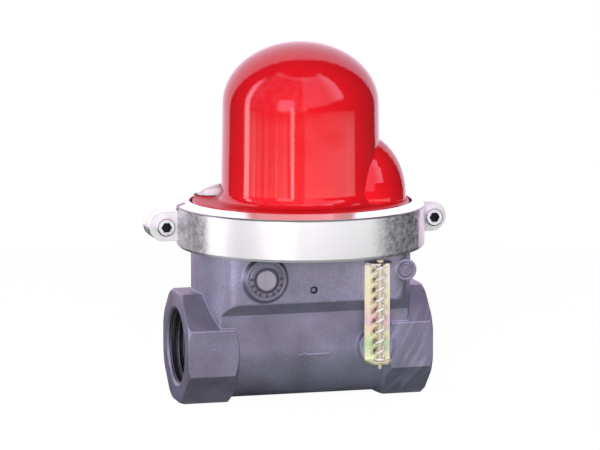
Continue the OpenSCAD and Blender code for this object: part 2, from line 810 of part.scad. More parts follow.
module pedestal() {
    color("#a4a6ab")
    difference() {
        union() {
            translate([0, 0, body_top]) cylinder(r = foot_r, h = foot_t);
            translate([0, 0, body_top + foot_t])
                cylinder(r1 = pedestal_r + pedestal_flare, r2 = pedestal_r, h = pedestal_h - foot_t - pedestal_flare);
            translate([0, 0, pedestal_top - pedestal_flare]) cylinder(r = pedestal_r, h = pedestal_flare);
        }
        translate([0, 0, body_top - 1]) cylinder(r = rod_r + 0.1, h = foot_t + 2);
        translate([0, 0, body_top + foot_t]) cylinder(r = pedestal_bore, h = pedestal_h);
        pedestal_screw_places() translate([0, 0, body_top - 1]) cylinder(r = small_r + seat_gap, h = foot_t + 2);
        guard_post_places() translate([0, 0, body_top - 1]) cylinder(r = post_r * 0.7 + seat_gap, h = foot_t + 2);
        // Ring groove that leaves a narrow rim for the weight to tip on
        translate([0, 0, pedestal_top - rim_deep])
            difference() {
                cylinder(r = pedestal_r - rim_w, h = rim_deep + 1);
                translate([0, 0, -1]) cylinder(r = centre_r, h = rim_deep + 3);
            }
    }
}

module pedestal_screws() {
    color("#c9ccd1")
    pedestal_screw_places() {
        translate([0, 0, body_top - plate_t + 0.4]) cylinder(r = small_r, h = plate_t - 0.4 + foot_t);
        difference() {
            translate([0, 0, body_top + foot_t])
                cylinder(r1 = small_head_r, r2 = small_head_r - 0.6, h = small_head_h);
            translate([-small_head_r - 1, -small_slot / 2, body_top + foot_t + small_head_h - small_slot])
                cube([2 * small_head_r + 2, small_slot, 2 * small_slot]);
        }
    }
}

module actuator_mass() {
    color("#b08d57")
    difference() {
        union() {
            translate([0, 0, mass_z]) cylinder(r1 = mass_r - 0.5, r2 = mass_r, h = 0.5);
            translate([0, 0, mass_z + 0.5]) cylinder(r = mass_r, h = mass_h - mass_break - 0.5);
            translate([0, 0, mass_z + mass_h - mass_break])
                cylinder(r1 = mass_r, r2 = mass_r - mass_break, h = mass_break);
        }
        translate([0, 0, mass_z - 1]) cylinder(r = socket_r + seat_gap, h = socket_t + 1);
        translate([0, 0, mass_z]) cylinder(r = socket_r, h = socket_room);
        // Turned grooves and a tapped hole in the top
        for (h = [mass_h * 0.3, mass_h * 0.6])
            translate([0, 0, mass_z + h])
                difference() {
                    cylinder(r = mass_r + 1, h = mass_groove);
                    translate([0, 0, -1]) cylinder(r = mass_r - 0.8, h = mass_groove + 2);
                }
        translate([0, 0, mass_z + mass_h - mass_bore]) cylinder(r = mass_bore_r, h = mass_bore + 1);
    }
}

module mass_socket() {
    color("#8d9096")
    difference() {
        translate([0, 0, mass_z]) cylinder(r = socket_r, h = socket_t);
        translate([0, 0, mass_z - 1]) cylinder(r = socket_hole, h = socket_t + 2);
    }
}

module guard_post_places() {
    for (turn = [60:120:300]) rotate([0, 0, turn]) translate([post_d, 0, 0]) children();
}

module mass_guard() {
    color("#c3c5ca")
    union() {
        difference() {
            translate([0, 0, pedestal_top + guard_h - guard_t]) cylinder(r = guard_in + guard_w, h = guard_t);
            translate([0, 0, pedestal_top + guard_h - guard_t - 1]) cylinder(r = guard_in, h = guard_t + 2);
        }
        guard_post_places() {
            translate([0, 0, body_top + foot_t]) cylinder(r = post_r, h = pedestal_h - foot_t + guard_h - guard_t + 1);
            translate([0, 0, body_top + 0.1]) cylinder(r = post_r * 0.7, h = foot_t + 1);
        }
    }
}

module dome_gasket() {
    color("#2b2b2b")
    difference() {
        translate([0, 0, body_top]) cylinder(r = flange_r - 0.4, h = gasket_t);
        translate([0, 0, body_top - 1]) cylinder(r = plate_r + 0.4, h = gasket_t + 2);
    }
}

// Half profile of a cap: an ellipse of radius r and height h standing on z, in a number of steps
function cap_points(r, h, z, steps) =
    [for (i = [0:steps]) [r * cos(90 * i / steps), z + h * sin(90 * i / steps)]];

// Half profile of a rounded inside corner, from the flat at z up to the wall at r
function foot_points(r, z, f) =
    [for (i = [0:6]) [r + f - f * sin(15 * i), z + f - f * cos(15 * i)]];

module dome_outside() {
    rotate_extrude()
        polygon(concat([[0, dome_flange_bottom], [flange_r, dome_flange_bottom],
                [flange_r, dome_lip_z - flange_slope], [flange_r - slope_in, dome_lip_z], [rim_r, dome_lip_z],
                [rim_r, dome_flange_z - 1.4], [rim_r - 0.5, dome_flange_z - 0.4], [rim_r - 1.4, dome_flange_z]],
            foot_points(dome_r, dome_flange_z, foot_fillet),
            cap_points(dome_top_r, cap_h, cap_z, cap_steps)));
}

module dome_inside() {
    inner = dome_r - dome_wall;
    rotate_extrude()
        polygon(concat([[0, dome_flange_bottom - 1], [inner, dome_flange_bottom - 1], [inner, dome_flange_z + foot_fillet + 1.3]],
            cap_points(dome_top_r - dome_wall, cap_h - dome_wall, cap_z, cap_steps)));
}

// The bulge's half ellipsoid on a short wall
module bulge(r, h, low) {
    rotate([0, 0, bulge_turn])
        translate([bulge_d, 0, 0])
            rotate_extrude()
                polygon(concat([[0, low], [r, low]], cap_points(r, h, dome_flange_z + bulge_foot, bulge_steps)));
}

module at_level() {
    rotate([0, 0, level_turn]) translate([level_d, 0, 0]) children();
}

module dome_cover() {
    color("#d3141c")
    difference() {
        union() {
            dome_outside();
            bulge(bulge_r, bulge_h, dome_flange_z - 1);
            // Pad that carries the level past the rim
            intersection() {
                at_level() translate([0, 0, level_seat]) cylinder(r = level_r + 0.8, h = level_rise);
                translate([0, 0, level_seat - 1]) cylinder(r = lip_r - 0.4, h = 6);
            }
        }
        dome_inside();
        bulge(bulge_r - dome_wall, bulge_h - dome_wall, dome_flange_bottom - 1);
        at_level() translate([0, 0, level_pocket]) cylinder(r = level_r + seat_gap, h = 8);
    }
}

// Section of the V clamp: a wall with a sloped lip above and below
module ring_section() {
    slope_top = ring_top - lip_t - flange_slope;
    rotate_extrude()
        polygon([[lip_r, ring_z], [ring_r - ring_break, ring_z], [ring_r, ring_z + ring_break],
            [ring_r, ring_top - 0.5], [ring_r - 0.5, ring_top], [lip_r + 0.4, ring_top + lip_rise],
            [lip_r, ring_top + lip_rise - 0.4], [lip_r, ring_top - lip_t],
            [ring_wall_in - slope_in - 0.2, ring_top - lip_t], [ring_wall_in, slope_top],
            [ring_wall_in, flange_z + flange_slope - 0.2],
            [ring_wall_in - slope_in - 0.2, flange_z - seat_gap], [lip_r, flange_z - seat_gap]]);
}

module lug(sx, y, len) {
    bar_y(sx * lug_x, y, screw_z, lug_r, len);
    translate([sx > 0 ? ring_wall_in + 0.4 : -lug_x, y, screw_z - lug_r])
        cube([lug_x - ring_wall_in - 0.4, len, 2 * lug_r]);
}

module clamp_front() {
    color("#d9dbe2")
    difference() {
        union() {
            intersection() {
                ring_section();
                translate([-ring_r - 1, -ring_r - 1, 0]) cube([2 * ring_r + 2, ring_r + 1 + gap_y, ring_top + lip_rise + 1]);
            }
            for (sx = [-1, 1]) lug(sx, head_y, screw_head_h);
        }
        for (sx = [-1, 1]) bar_y(sx * lug_x, head_y - 1, screw_z, screw_r + seat_gap, screw_head_h + 2);
    }
}

module clamp_rear() {
    color("#d9dbe2")
    difference() {
        union() {
            intersection() {
                ring_section();
                translate([-ring_r - 1, gap_y + ring_gap, 0]) cube([2 * ring_r + 2, ring_r + 1, ring_top + lip_rise + 1]);
            }
            for (sx = [-1, 1]) lug(sx, gap_y + ring_gap, rear_lug);
        }
        for (sx = [-1, 1]) bar_y(sx * lug_x, gap_y, screw_z, screw_r + seat_gap, rear_lug + 3);
    }
}

module clamp_screws() {
    color("#c9ccd1")
    for (sx = [-1, 1])
        difference() {
            union() {
                bar_y(sx * lug_x, head_y - 0.01, screw_z, screw_r, gap_y + ring_gap + rear_lug - head_y + 0.8);
                bar_y(sx * lug_x, head_y - screw_head_h + 0.4, screw_z, screw_head_r, screw_head_h - 0.4);
                translate([sx * lug_x, head_y - screw_head_h, screw_z])
                    rotate([-90, 0, 0]) cylinder(r1 = screw_head_r - 0.4, r2 = screw_head_r, h = 0.4);
            }
            translate([sx * lug_x, head_y - screw_head_h - 1, screw_z])
                rotate([-90, 0, 0]) cylinder(r = hex_r, h = 1 + hex_deep, $fn = 6);
        }
}

module level_cup() {
    color("#e8e6ee")
    at_level()
    difference() {
        translate([0, 0, level_pocket]) cylinder(r = level_cup_r, h = level_h);
        translate([0, 0, level_pocket + 0.8]) cylinder(r = level_cup_r - 0.7, h = level_h);
    }
}

module level_lens() {
    color("#dfe6ff", 0.5)
    // Clear cap over the cup, with a crown that stands highest on the dome's side
    at_level()
    translate([0, 0, level_pocket])
        difference() {
            intersection() {
                cylinder(r = level_r, h = level_h + lens_h + 1);
                translate([-lens_lean, 0, level_h + lens_h - lens_round]) sphere(r = lens_round);
            }
            translate([0, 0, -1]) cylinder(r = level_r - lens_wall, h = level_h + 1 + seat_gap);
        }
}

module level_bubble() {
    color("#f2f7c8")
    at_level() translate([0, 0, level_pocket + 0.85]) cylinder(r = level_cup_r - 0.75, h = level_h - 0.9);
}

// A tab that narrows from the strip to a front with rounded corners
module tab_outline() {
    side = bracket_w / 2;
    front = tab_front / 2;
    polygon([[-side, 0], [-side, -sheet_t - 0.8], [-front - tab_round, -tab_d + tab_round], [-front, -tab_d],
        [front, -tab_d], [front + tab_round, -tab_d + tab_round], [side, -sheet_t - 0.8], [side, 0]]);
}

module spring_bracket() {
    color("#d9c46a")
    difference() {
        union() {
            translate([bracket_x - bracket_w / 2, -plate_y, bracket_z])
                cube([bracket_w, sheet_t, bracket_top - bracket_z]);
            for (z = [bracket_z, bracket_top - sheet_t])
                translate([bracket_x, -front_y, z]) linear_extrude(height = sheet_t) tab_outline();
        }
        translate([bracket_x, -rod_y, bracket_z - 1]) cylinder(r = plunger_r + 0.1, h = bracket_top - bracket_z + 2);
        for (z = [boss_z, upper_screw_z]) {
            bar_y(bracket_x, -plate_y - 1, z, flat_shank_r + seat_gap, sheet_t + 2);
            translate([bracket_x, -plate_y - 0.01, z])
                rotate([-90, 0, 0])
                    cylinder(r1 = flat_head_r + seat_gap, r2 = flat_shank_r + seat_gap, h = flat_head_h);
        }
    }
}

module bracket_screws() {
    color("#cdb95e")
    for (z = [boss_z, upper_screw_z])
        difference() {
            union() {
                translate([bracket_x, -plate_y, z])
                    rotate([-90, 0, 0]) cylinder(r1 = flat_head_r, r2 = flat_shank_r, h = flat_head_h);
                bar_y(bracket_x, -plate_y + 0.1, z, flat_shank_r, bracket_screw_len);
            }
            translate([bracket_x - flat_head_r - 1, -plate_y - 1, z - small_slot / 2])
                cube([2 * flat_head_r + 2, 1.4, small_slot]);
        }
}

module plunger_rod() {
    color("#d8dade")
    translate([bracket_x, -rod_y, 0])
        rotate_extrude()
            polygon([[0, tip_z], [plunger_r - tip_break, tip_z], [plunger_r, tip_z + 1], [plunger_r, head_z],
                [head_r, head_z], [head_r, head_z + head_h - head_break], [head_r - head_break, head_z + head_h],
                [0, head_z + head_h]]);
}

module plunger_clip() {
    color("#b8bbc2")
    translate([bracket_x, -rod_y, bracket_z + sheet_t + moving_gap])
        difference() {
            cylinder(r = clip_r, h = clip_t);
            translate([0, 0, -1]) cylinder(r = plunger_r + seat_gap, h = clip_t + 2);
        }
}

module plunger_spring() {
    color("#d8dade")
    translate([bracket_x, -rod_y, spring_low])
        coil(coil_r, wire_r, spring_high - spring_low, coil_turns, 8, 20);
}

module index_screw() {
    color("#6d6a7b")
    union() {
        bar_y(-index_x, -front_y + 0.9, index_z, index_r, index_len - 1);
        bar_y(-index_x, -front_y + 0.1, index_z, index_r / 2, 1.2);
    }
}

valve_body();
valve_seat();
gate_seal();
gate_disc();
gate_arm();
gate_nut();
reset_shaft();
hub_pin();
reset_bush();
shaft_seal();
gate_spring();
lever_pin();
lever_plug();
trip_lever();
magnet_cup();
latch_magnet();
pull_rod();
mechanism_plate();
plate_screws();
pedestal();
pedestal_screws();
actuator_mass();
mass_socket();
mass_guard();
dome_gasket();
dome_cover();
clamp_front();
clamp_rear();
clamp_screws();
level_cup();
level_lens();
level_bubble();
spring_bracket();
bracket_screws();
plunger_rod();
plunger_clip();
plunger_spring();
index_screw();
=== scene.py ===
# %% [markdown]
# # An earthquake gas valve, dressed on its CAD frame
# The CAD model gives every solid piece its true size and place. This script gives the pieces their
# finishes, adds the small parts that are easier to shape here, such as threads and cast marks, and sets up
# the camera, the lights and the floor. Everything is in metres, with +Z up and the front of the valve at -Y.
# Sizes on the valve are written in millimetres and multiplied by MM where they are used.

# %% Load the frame
import math

import bmesh
import bpy
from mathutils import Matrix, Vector


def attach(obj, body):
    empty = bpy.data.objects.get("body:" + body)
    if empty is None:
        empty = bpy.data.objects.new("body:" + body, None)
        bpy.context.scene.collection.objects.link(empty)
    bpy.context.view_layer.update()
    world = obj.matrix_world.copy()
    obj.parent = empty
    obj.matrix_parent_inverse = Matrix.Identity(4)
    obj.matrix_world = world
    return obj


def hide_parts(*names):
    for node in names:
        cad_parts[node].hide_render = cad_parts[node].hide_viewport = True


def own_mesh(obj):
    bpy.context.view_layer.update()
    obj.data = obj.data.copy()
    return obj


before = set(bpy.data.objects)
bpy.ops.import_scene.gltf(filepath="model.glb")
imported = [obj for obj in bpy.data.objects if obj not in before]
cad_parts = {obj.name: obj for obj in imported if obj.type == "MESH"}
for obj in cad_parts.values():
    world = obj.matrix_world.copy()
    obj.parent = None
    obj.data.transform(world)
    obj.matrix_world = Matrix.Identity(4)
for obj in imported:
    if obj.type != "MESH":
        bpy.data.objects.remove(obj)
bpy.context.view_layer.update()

MM = 0.001

# %% [markdown]
# ## Helpers for materials
# A finish is a small network of shader nodes. One helper makes a material with its main shader, and another
# adds a node, sets its fields and wires its inputs in one line. The rest stand for what comes back in many
# finishes: sums and masks, places on the object, noise and colour ramps, and bumps with rounded edges.

# %% Make a material and its nodes
def new_finish(name):
    finish = bpy.data.materials.new(name)
    finish.use_nodes = True
    tree = finish.node_tree
    return finish, tree, tree.nodes["Principled BSDF"]


def feed(tree, socket, value):
    """Link another node's output to a socket, or set the socket to a plain value."""
    if isinstance(value, bpy.types.NodeSocket):
        tree.links.new(value, socket)
    else:
        socket.default_value = value


def add(tree, kind, inputs=None, **fields):
    made = tree.nodes.new("ShaderNode" + kind)
    for key, value in fields.items():
        setattr(made, key, value)
    for key, value in (inputs or {}).items():
        feed(tree, made.inputs[key], value)
    return made


def wire(tree, shader, **sockets):
    for key, value in sockets.items():
        feed(tree, shader.inputs[key.replace("_", " ")], value)


print("node helpers are ready")

# %% Sums and masks
def math_node(tree, operation, first, second=0.0, clamp=False):
    made = add(tree, "Math", {0: first, 1: second}, operation=operation, use_clamp=clamp)
    return made.outputs[0]


def total(tree, *parts):
    result = parts[0]
    for part in parts[1:]:
        result = math_node(tree, "ADD", result, part)
    return result


def product(tree, *parts):
    result = parts[0]
    for part in parts[1:]:
        result = math_node(tree, "MULTIPLY", result, part)
    return result


def minus(tree, first, second):
    return math_node(tree, "SUBTRACT", first, second)


def above(tree, value, limit):
    return math_node(tree, "GREATER_THAN", value, limit)


def below(tree, value, limit):
    return math_node(tree, "LESS_THAN", value, limit)


print("sums and masks are ready")

# %% Places and directions
def object_place(tree):
    return add(tree, "TexCoord").outputs["Object"]


def coordinates(tree, vector):
    return add(tree, "SeparateXYZ", {0: vector}).outputs


def flat_place(tree, first, second):
    return add(tree, "CombineXYZ", {0: first, 1: second}).outputs[0]


def vector_value(tree, operation, *vectors):
    """A number from one or two vectors, such as a length, a distance or a dot product."""
    return add(tree, "VectorMath", dict(enumerate(vectors)), operation=operation).outputs["Value"]


def upward(tree):
    """1 where the surface faces straight up, 0 on a wall and -1 on an underside."""
    return coordinates(tree, add(tree, "NewGeometry").outputs["Normal"])["Z"]


print("places and directions are ready")

# %% Patterns and colours
def noise(tree, place, scale, detail=3.0, rough=0.55):
    inputs = {"Vector": place, "Scale": scale, "Detail": detail, "Roughness": rough}
    return add(tree, "TexNoise", inputs).outputs["Fac"]


def stretched(tree, place, scale):
    return add(tree, "Mapping", {"Vector": place, "Scale": scale}).outputs["Vector"]


def swing(tree, pattern, width):
    """A pattern from 0 to 1, turned into one that swings this wide about zero."""
    return product(tree, minus(tree, pattern, 0.5), width)


def ramp(tree, value, stops):
    """Colours or greys along a value: each stop is a place from 0 to 1 and what stands there."""
    made = add(tree, "ValToRGB", {"Fac": value})
    while len(made.color_ramp.elements) < len(stops):
        made.color_ramp.elements.new(0.5)
    for element, (at, colour) in zip(made.color_ramp.elements, stops):
        element.position = at
    for element, (at, colour) in zip(made.color_ramp.elements, stops):
        if isinstance(colour, (int, float)):
            colour = (colour, colour, colour)
        element.color = (*colour, 1.0)
    return made.outputs["Color"]


def scaled(tree, colour, factor):
    return add(tree, "VectorMath", {0: colour, "Scale": factor}, operation="SCALE").outputs["Vector"]


def tinted(tree, colour, tint):
    return add(tree, "VectorMath", {0: colour, 1: tint}, operation="MULTIPLY").outputs["Vector"]


def blend_colours(tree, factor, first, second):
    made = add(tree, "Mix", data_type="RGBA")
    for key, value in (("Factor", factor), ("A", first), ("B", second)):
        socket = [s for s in made.inputs if s.name == key and s.enabled][0]
        feed(tree, socket, (*value, 1.0) if isinstance(value, tuple) else value)
    return [s for s in made.outputs if s.enabled][0]


print("patterns and colours are ready")

# %% Bumps and rounded edges
RUB_SPREAD = 0.06


def bumped(tree, height, strength, distance, normal=None):
    inputs = {"Height": height, "Strength": strength, "Distance": distance}
    if normal is not None:
        inputs["Normal"] = normal
    return add(tree, "Bump", inputs).outputs["Normal"]


def rounded(tree, radius):
    return add(tree, "Bevel", {"Radius": radius}, samples=6).outputs["Normal"]


def edge_mask(tree, round_normal):
    """1 on an edge, where the rounded normal leans away from the plain one, and 0 on flat skin."""
    plain = add(tree, "NewGeometry").outputs["Normal"]
    match = vector_value(tree, "DOT_PRODUCT", round_normal, plain)
    return math_node(tree, "DIVIDE", minus(tree, 1.0, match), RUB_SPREAD, clamp=True)


print("bumps and rounded edges are ready")

# %% [markdown]
# ## Cast and anodised aluminium
# The body is a sand-fine die casting with a dark purple-grey anodised skin. Its surface is matt with a soft
# sheen, mottled over a few millimetres, and a little paler where edges have rubbed. The grain is bump from
# two sizes of noise, and a bevel in the shader rounds the cast edges. Inside the bores the colour is
# darkened as painted shade, by a mask of the distance from the pipe's axis.

# %% The bores' mask
AXIS_Z = 24.0
BORE_R = 16.4
FIRST_BORE_X = 30.0
# painted shade: how much darker the colour is inside the bores
BORE_SHADE_DARKER = 0.86


def inside_bore(tree, place):
    """1 inside the bores of the two ports, 0 elsewhere."""
    parts = coordinates(tree, place)
    rise = minus(tree, parts["Z"], AXIS_Z * MM)
    squares = total(tree, math_node(tree, "POWER", parts["Y"], 2.0), math_node(tree, "POWER", rise, 2.0))
    near_axis = below(tree, squares, (BORE_R * MM) ** 2)
    far_out = above(tree, math_node(tree, "ABSOLUTE", parts["X"]), FIRST_BORE_X * MM)
    return product(tree, near_axis, far_out)


print("bores: radius", BORE_R, "mm about the pipe's axis at", AXIS_Z, "mm")

# %% [markdown]
# The casting isn't equally bright all over. Slanting scrapes cross the front of its right end, painted light
# makes the front wall under the ring paler than the barrel, and painted shade darkens the boss and the faces
# that look up. Each is a factor near 1 that the colour is multiplied by, found from the place on the body,
# so it stays where it is from every side.

# %% Scrapes across the right end
SCRAPED_X, SCRAPED_Y = 34.0, -12.0
SCRAPE_LEAN, SCRAPE_STRETCH = 0.55, 0.12
SCRAPE_BRIGHT, SCRAPE_DULL = 0.34, 0.15


def scrapes(tree, place):
    """Brightness of slanting scrapes on the front of the right octagon, 1 where there are none."""
    parts = coordinates(tree, place)
    across = minus(tree, parts["X"], product(tree, parts["Z"], SCRAPE_LEAN))
    along = add(tree, "CombineXYZ", {0: across, 2: product(tree, parts["Z"], SCRAPE_STRETCH)}).outputs[0]
    lines = ramp(tree, noise(tree, along, 330, 2.0, 0.5), [(0.5, 0.0), (0.62, 1.0)])
    patch = ramp(tree, noise(tree, place, 60, 1.0), [(0.42, 0.1), (0.55, 1.0)])
    right_end = above(tree, parts["X"], SCRAPED_X * MM)
    in_front = below(tree, parts["Y"], SCRAPED_Y * MM)
    drawn = minus(tree, product(tree, lines, SCRAPE_BRIGHT), SCRAPE_DULL)
    return total(tree, 1.0, product(tree, drawn, right_end, in_front, patch))


print("scrapes: to the right of", SCRAPED_X, "mm")

# %% Painted light on the wall, painted shade on the boss and on top
BOSS_X, BOSS_Z, BOSS_Y = -23.5, 56.2, 31.3
# painted shade on the reset boss
BOSS_SHADE_R, BOSS_SHADE_Y, BOSS_PAINTED_SHADE = 10.3, -29.0, 0.42
# painted light on the front wall under the ring
WALL_Y, WALL_LOW_Z, WALL_PAINTED_LIGHT = -27.5, 46.0, 0.14
# painted shade on the faces that look up
UP_SHADE_FROM, UP_SHADE_FULL, UP_SHADE_DARKER = 0.25, 0.6, 0.38


def wall_shade(tree, place):
    """Painted light on the front wall and painted shade on the reset boss and on the faces that look up, 1
    elsewhere.
    """
    parts = coordinates(tree, place)
    middle = (BOSS_X * MM, BOSS_Z * MM, 0.0)
    away = vector_value(tree, "DISTANCE", flat_place(tree, parts["X"], parts["Z"]), middle)
    near = below(tree, away, BOSS_SHADE_R * MM)
    # painted shade on the boss
    painted_boss_shade = product(tree, near, below(tree, parts["Y"], BOSS_SHADE_Y * MM), BOSS_PAINTED_SHADE)
    in_front = below(tree, parts["Y"], WALL_Y * MM)
    # painted light on the front wall
    painted_wall_light = product(tree, in_front, above(tree, parts["Z"], WALL_LOW_Z * MM), WALL_PAINTED_LIGHT)
    shade = minus(tree, total(tree, 1.0, painted_wall_light), painted_boss_shade)
    # painted shade on the faces that look up
    painted_shade = add(tree, "MapRange", {"Value": upward(tree), "From Min": UP_SHADE_FROM, "From Max": UP_SHADE_FULL,
                                   "To Max": UP_SHADE_DARKER})
    return minus(tree, shade, painted_shade.outputs["Result"])


print("darker boss: radius", BOSS_SHADE_R, "mm about", (BOSS_X, BOSS_Z))

# %% Cast metal
def cast_finish(name, tone):
    finish, tree, shader = new_finish(name)
    place = object_place(tree)
    mottle = noise(tree, place, 55, 4.0)
    dark = tuple(0.78 * c for c in tone)
    pale = tuple(1.16 * c for c in tone)
    colour = ramp(tree, mottle, [(0.3, dark), (0.5, tone), (0.72, pale)])
    grain = ramp(tree, noise(tree, place, 1500, 2.0), [(0.3, 0.82), (0.7, 1.12)])
    stains = noise(tree, place, 22, 3.0, 0.6)
    stain = ramp(tree, stains, [(0.36, (0.88, 0.83, 0.83)), (0.62, (1.06, 1.06, 1.08))])
    colour = tinted(tree, tinted(tree, colour, grain), stain)
    # painted shade inside the bores
    bore_shade = minus(tree, 1.0, product(tree, inside_bore(tree, place), BORE_SHADE_DARKER))
    for shade in (scrapes(tree, place), wall_shade(tree, place), bore_shade):
        colour = scaled(tree, colour, shade)
    soft_edge = rounded(tree, 0.7 * MM)
    rub = product(tree, edge_mask(tree, soft_edge), 0.3)
    worn = tuple(min(1.0, 1.7 * c + 0.03) for c in tone)
    normal = bumped(tree, noise(tree, place, 2600, 3.0), 0.35, 0.06 * MM, soft_edge)
    normal = bumped(tree, noise(tree, place, 420, 3.0), 0.25, 0.10 * MM, normal)
    wire(tree, shader, Base_Color=blend_colours(tree, rub, colour, worn), Metallic=0.78, Normal=normal,
         Roughness=ramp(tree, mottle, [(0.3, 0.42), (0.7, 0.54)]))
    return finish


cast_metal = cast_finish("anodised_casting", (0.475, 0.497, 0.620))
plug_metal = cast_finish("plug_metal", (0.40, 0.40, 0.51))
oiled_metal = cast_finish("oiled_casting", (0.17, 0.165, 0.21))
print("cast finishes:", cast_metal.name, plug_metal.name, oiled_metal.name)

# %% [markdown]
# ## Turned metals
# Screws, pins, the spring's wire and the parts of the mechanism are turned or drawn metal, so nearly all of
# their look is what they reflect. Fine lathe lines run round them, and cloudy wear changes their roughness.
# One recipe with other colours and roughnesses gives bright and dull steel, brass and the black magnet.

# %% Turned metal
def metal_finish(name, tone, rough, lines=(0.0, 0.0, 900.0), line_depth=0.012, cloud=70, metallic=1.0):
    finish, tree, shader = new_finish(name)
    place = object_place(tree)
    clouds = noise(tree, place, cloud, 5.0, 0.62)
    fine = noise(tree, place, 700, 3.0)
    along = tuple(max(axis, 12.0) for axis in lines)
    streaks = noise(tree, stretched(tree, place, along), 1.0, 4.0, 0.7)
    dark = tuple(0.86 * c for c in tone)
    colour = ramp(tree, clouds, [(0.35, dark), (0.62, tone)])
    soft_edge = rounded(tree, 0.25 * MM)
    normal = bumped(tree, streaks, 0.5, line_depth * MM, soft_edge)
    normal = bumped(tree, fine, 0.2, 0.01 * MM, normal)
    rough_map = ramp(tree, clouds, [(0.3, rough[0]), (0.7, rough[1])])
    wire(tree, shader, Base_Color=colour, Metallic=metallic, Roughness=rough_map, Normal=normal)
    return finish


steel = metal_finish("turned_steel", (0.62, 0.62, 0.66), (0.22, 0.38))
bright_steel = metal_finish("bright_steel", (0.86, 0.86, 0.89), (0.12, 0.28))
shaft_steel = metal_finish("worn_steel_end", (0.42, 0.40, 0.47), (0.38, 0.52), lines=(300.0, 12.0, 300.0),
                           line_depth=0.03, cloud=420, metallic=0.3)
# painted shade: the bush is made near black, as the shade in the recess round the reset shaft's end
bush_shade_steel = metal_finish("painted_shade_bush_steel", (0.12, 0.105, 0.14), (0.35, 0.5), metallic=0.5)
spring_steel = metal_finish("bright_wire", (1.0, 0.99, 0.98), (0.2, 0.3), metallic=0.15)
straw_steel = metal_finish("straw_plated_rod", (0.84, 0.74, 0.56), (0.2, 0.3), metallic=0.3)
brass = metal_finish("machined_brass", (0.72, 0.52, 0.22), (0.2, 0.36))
magnet_black = metal_finish("sintered_magnet", (0.12, 0.12, 0.14), (0.45, 0.6), metallic=0.7)
print("metal finishes:", steel.name, bright_steel.name, brass.name, magnet_black.name)

# %% [markdown]
# ## Brushed ring with scuffed ends and painted reflections
# The clamp ring is aluminium brushed along its length, so it shows a soft, smeared picture of the room. Near
# its two ends it was handled and hammered: there the skin is scuffed and blotchy, and its colour is painted
# grey, darker at the right end, as a painted reflection of the dark sides of the room. The angle round the
# ring says where the scuffed stretches are, and noise breaks up their edges. A line of painted shade lies on
# the ring's rim, and painted shade darkens the gap between its halves at the left.

# %% Bands along a coordinate
def band(tree, value, low, high, soft):
    """1 where a coordinate lies between low and high, in millimetres, with a soft border."""
    rise = {"Value": value, "From Min": (low - soft) * MM, "From Max": (low + soft) * MM}
    fall = {"Value": value, "From Min": (high + soft) * MM, "From Max": (high - soft) * MM}
    edges = [add(tree, "MapRange", inputs).outputs["Result"] for inputs in (rise, fall)]
    return product(tree, *edges)


print("bands are ready")

# %% Ring finish
# how much the ring is scuffed and painted grey, at turns round it in degrees
SCUFFS_AND_REFLECTION = [(-180, 0.8), (-156, 0.9), (-151, 0.0), (-72, 0.0), (-60, 0.8), (-36, 1.0), (-33, 0.1), (166, 0.1),
          (176, 0.8)]
RING_WALL_R = 54.7
LOOKS_UP = 0.3
# painted reflection: the grey of the scuffed ends, darker at the right
LEFT_REFLECTED_GREY, RIGHT_REFLECTED_GREY = (0.35, 0.34, 0.37), (0.10, 0.095, 0.135)
# painted shade: a dark line on the ring's rim
SHADE_LINE_Z, SHADE_LINE_DARK = (83.9, 84.65), 0.72
# painted shade over the gap between the ring's halves at the left
GAP_X, GAP_Y, GAP_Z = (-54.6, -50.5), (2.5, 9.0), (81.8, 88.0)


def ring_finish(name):
    finish, tree, shader = new_finish(name)
    place = object_place(tree)
    parts = coordinates(tree, place)
    ragged = noise(tree, stretched(tree, place, (60.0, 60.0, 110.0)), 1.0, 4.0, 0.65)
    turn = total(tree, math_node(tree, "ARCTAN2", parts["Y"], parts["X"]), swing(tree, ragged, 0.16))
    share = total(tree, math_node(tree, "DIVIDE", turn, math.tau), 0.5)
    scuffs_and_reflection = ramp(tree, share, [(0.5 + angle / 360.0, amount) for angle, amount in SCUFFS_AND_REFLECTION])
    from_axis = vector_value(tree, "LENGTH", flat_place(tree, parts["X"], parts["Y"]))
    up = upward(tree)
    on_wall = product(tree, below(tree, from_axis, RING_WALL_R * MM), below(tree, up, LOOKS_UP))
    scuffs_and_reflection = product(tree, scuffs_and_reflection, on_wall)
    blotch = noise(tree, stretched(tree, place, (330.0, 330.0, 420.0)), 1.0, 5.0, 0.75)
    marks = product(tree, scuffs_and_reflection, ramp(tree, blotch, [(0.38, 1.0), (0.60, 0.3)]))
    # painted reflection of the dark sides of the room, darker at the right end
    reflected_grey = blend_colours(tree, above(tree, parts["X"], 0.0), LEFT_REFLECTED_GREY, RIGHT_REFLECTED_GREY)
    colour = blend_colours(tree, marks, (1.0, 1.0, 1.0), reflected_grey)
    # painted shade along the rim and over the gap at the left
    painted_shade = product(tree, band(tree, parts["Z"], *SHADE_LINE_Z, 0.15), SHADE_LINE_DARK)
    gap = product(tree, band(tree, parts["Y"], *GAP_Y, 0.5), band(tree, parts["X"], *GAP_X, 0.3),
                  band(tree, parts["Z"], *GAP_Z, 0.3))
    colour = blend_colours(tree, math_node(tree, "MAXIMUM", painted_shade, gap), colour, (0.03, 0.035, 0.045))
    brushed = noise(tree, stretched(tree, place, (14.0, 14.0, 1300.0)), 1.0, 4.0, 0.7)
    normal = bumped(tree, brushed, 0.5, 0.014 * MM, rounded(tree, 0.3 * MM))
    normal = bumped(tree, product(tree, scuffs_and_reflection, blotch), 0.8, 0.25 * MM, normal)
    rough = total(tree, 0.32, product(tree, scuffs_and_reflection, 0.06))
    rough = minus(tree, rough, product(tree, above(tree, up, LOOKS_UP), 0.2))
    wire(tree, shader, Base_Color=colour, Metallic=0.6, Roughness=rough, Normal=normal)
    return finish


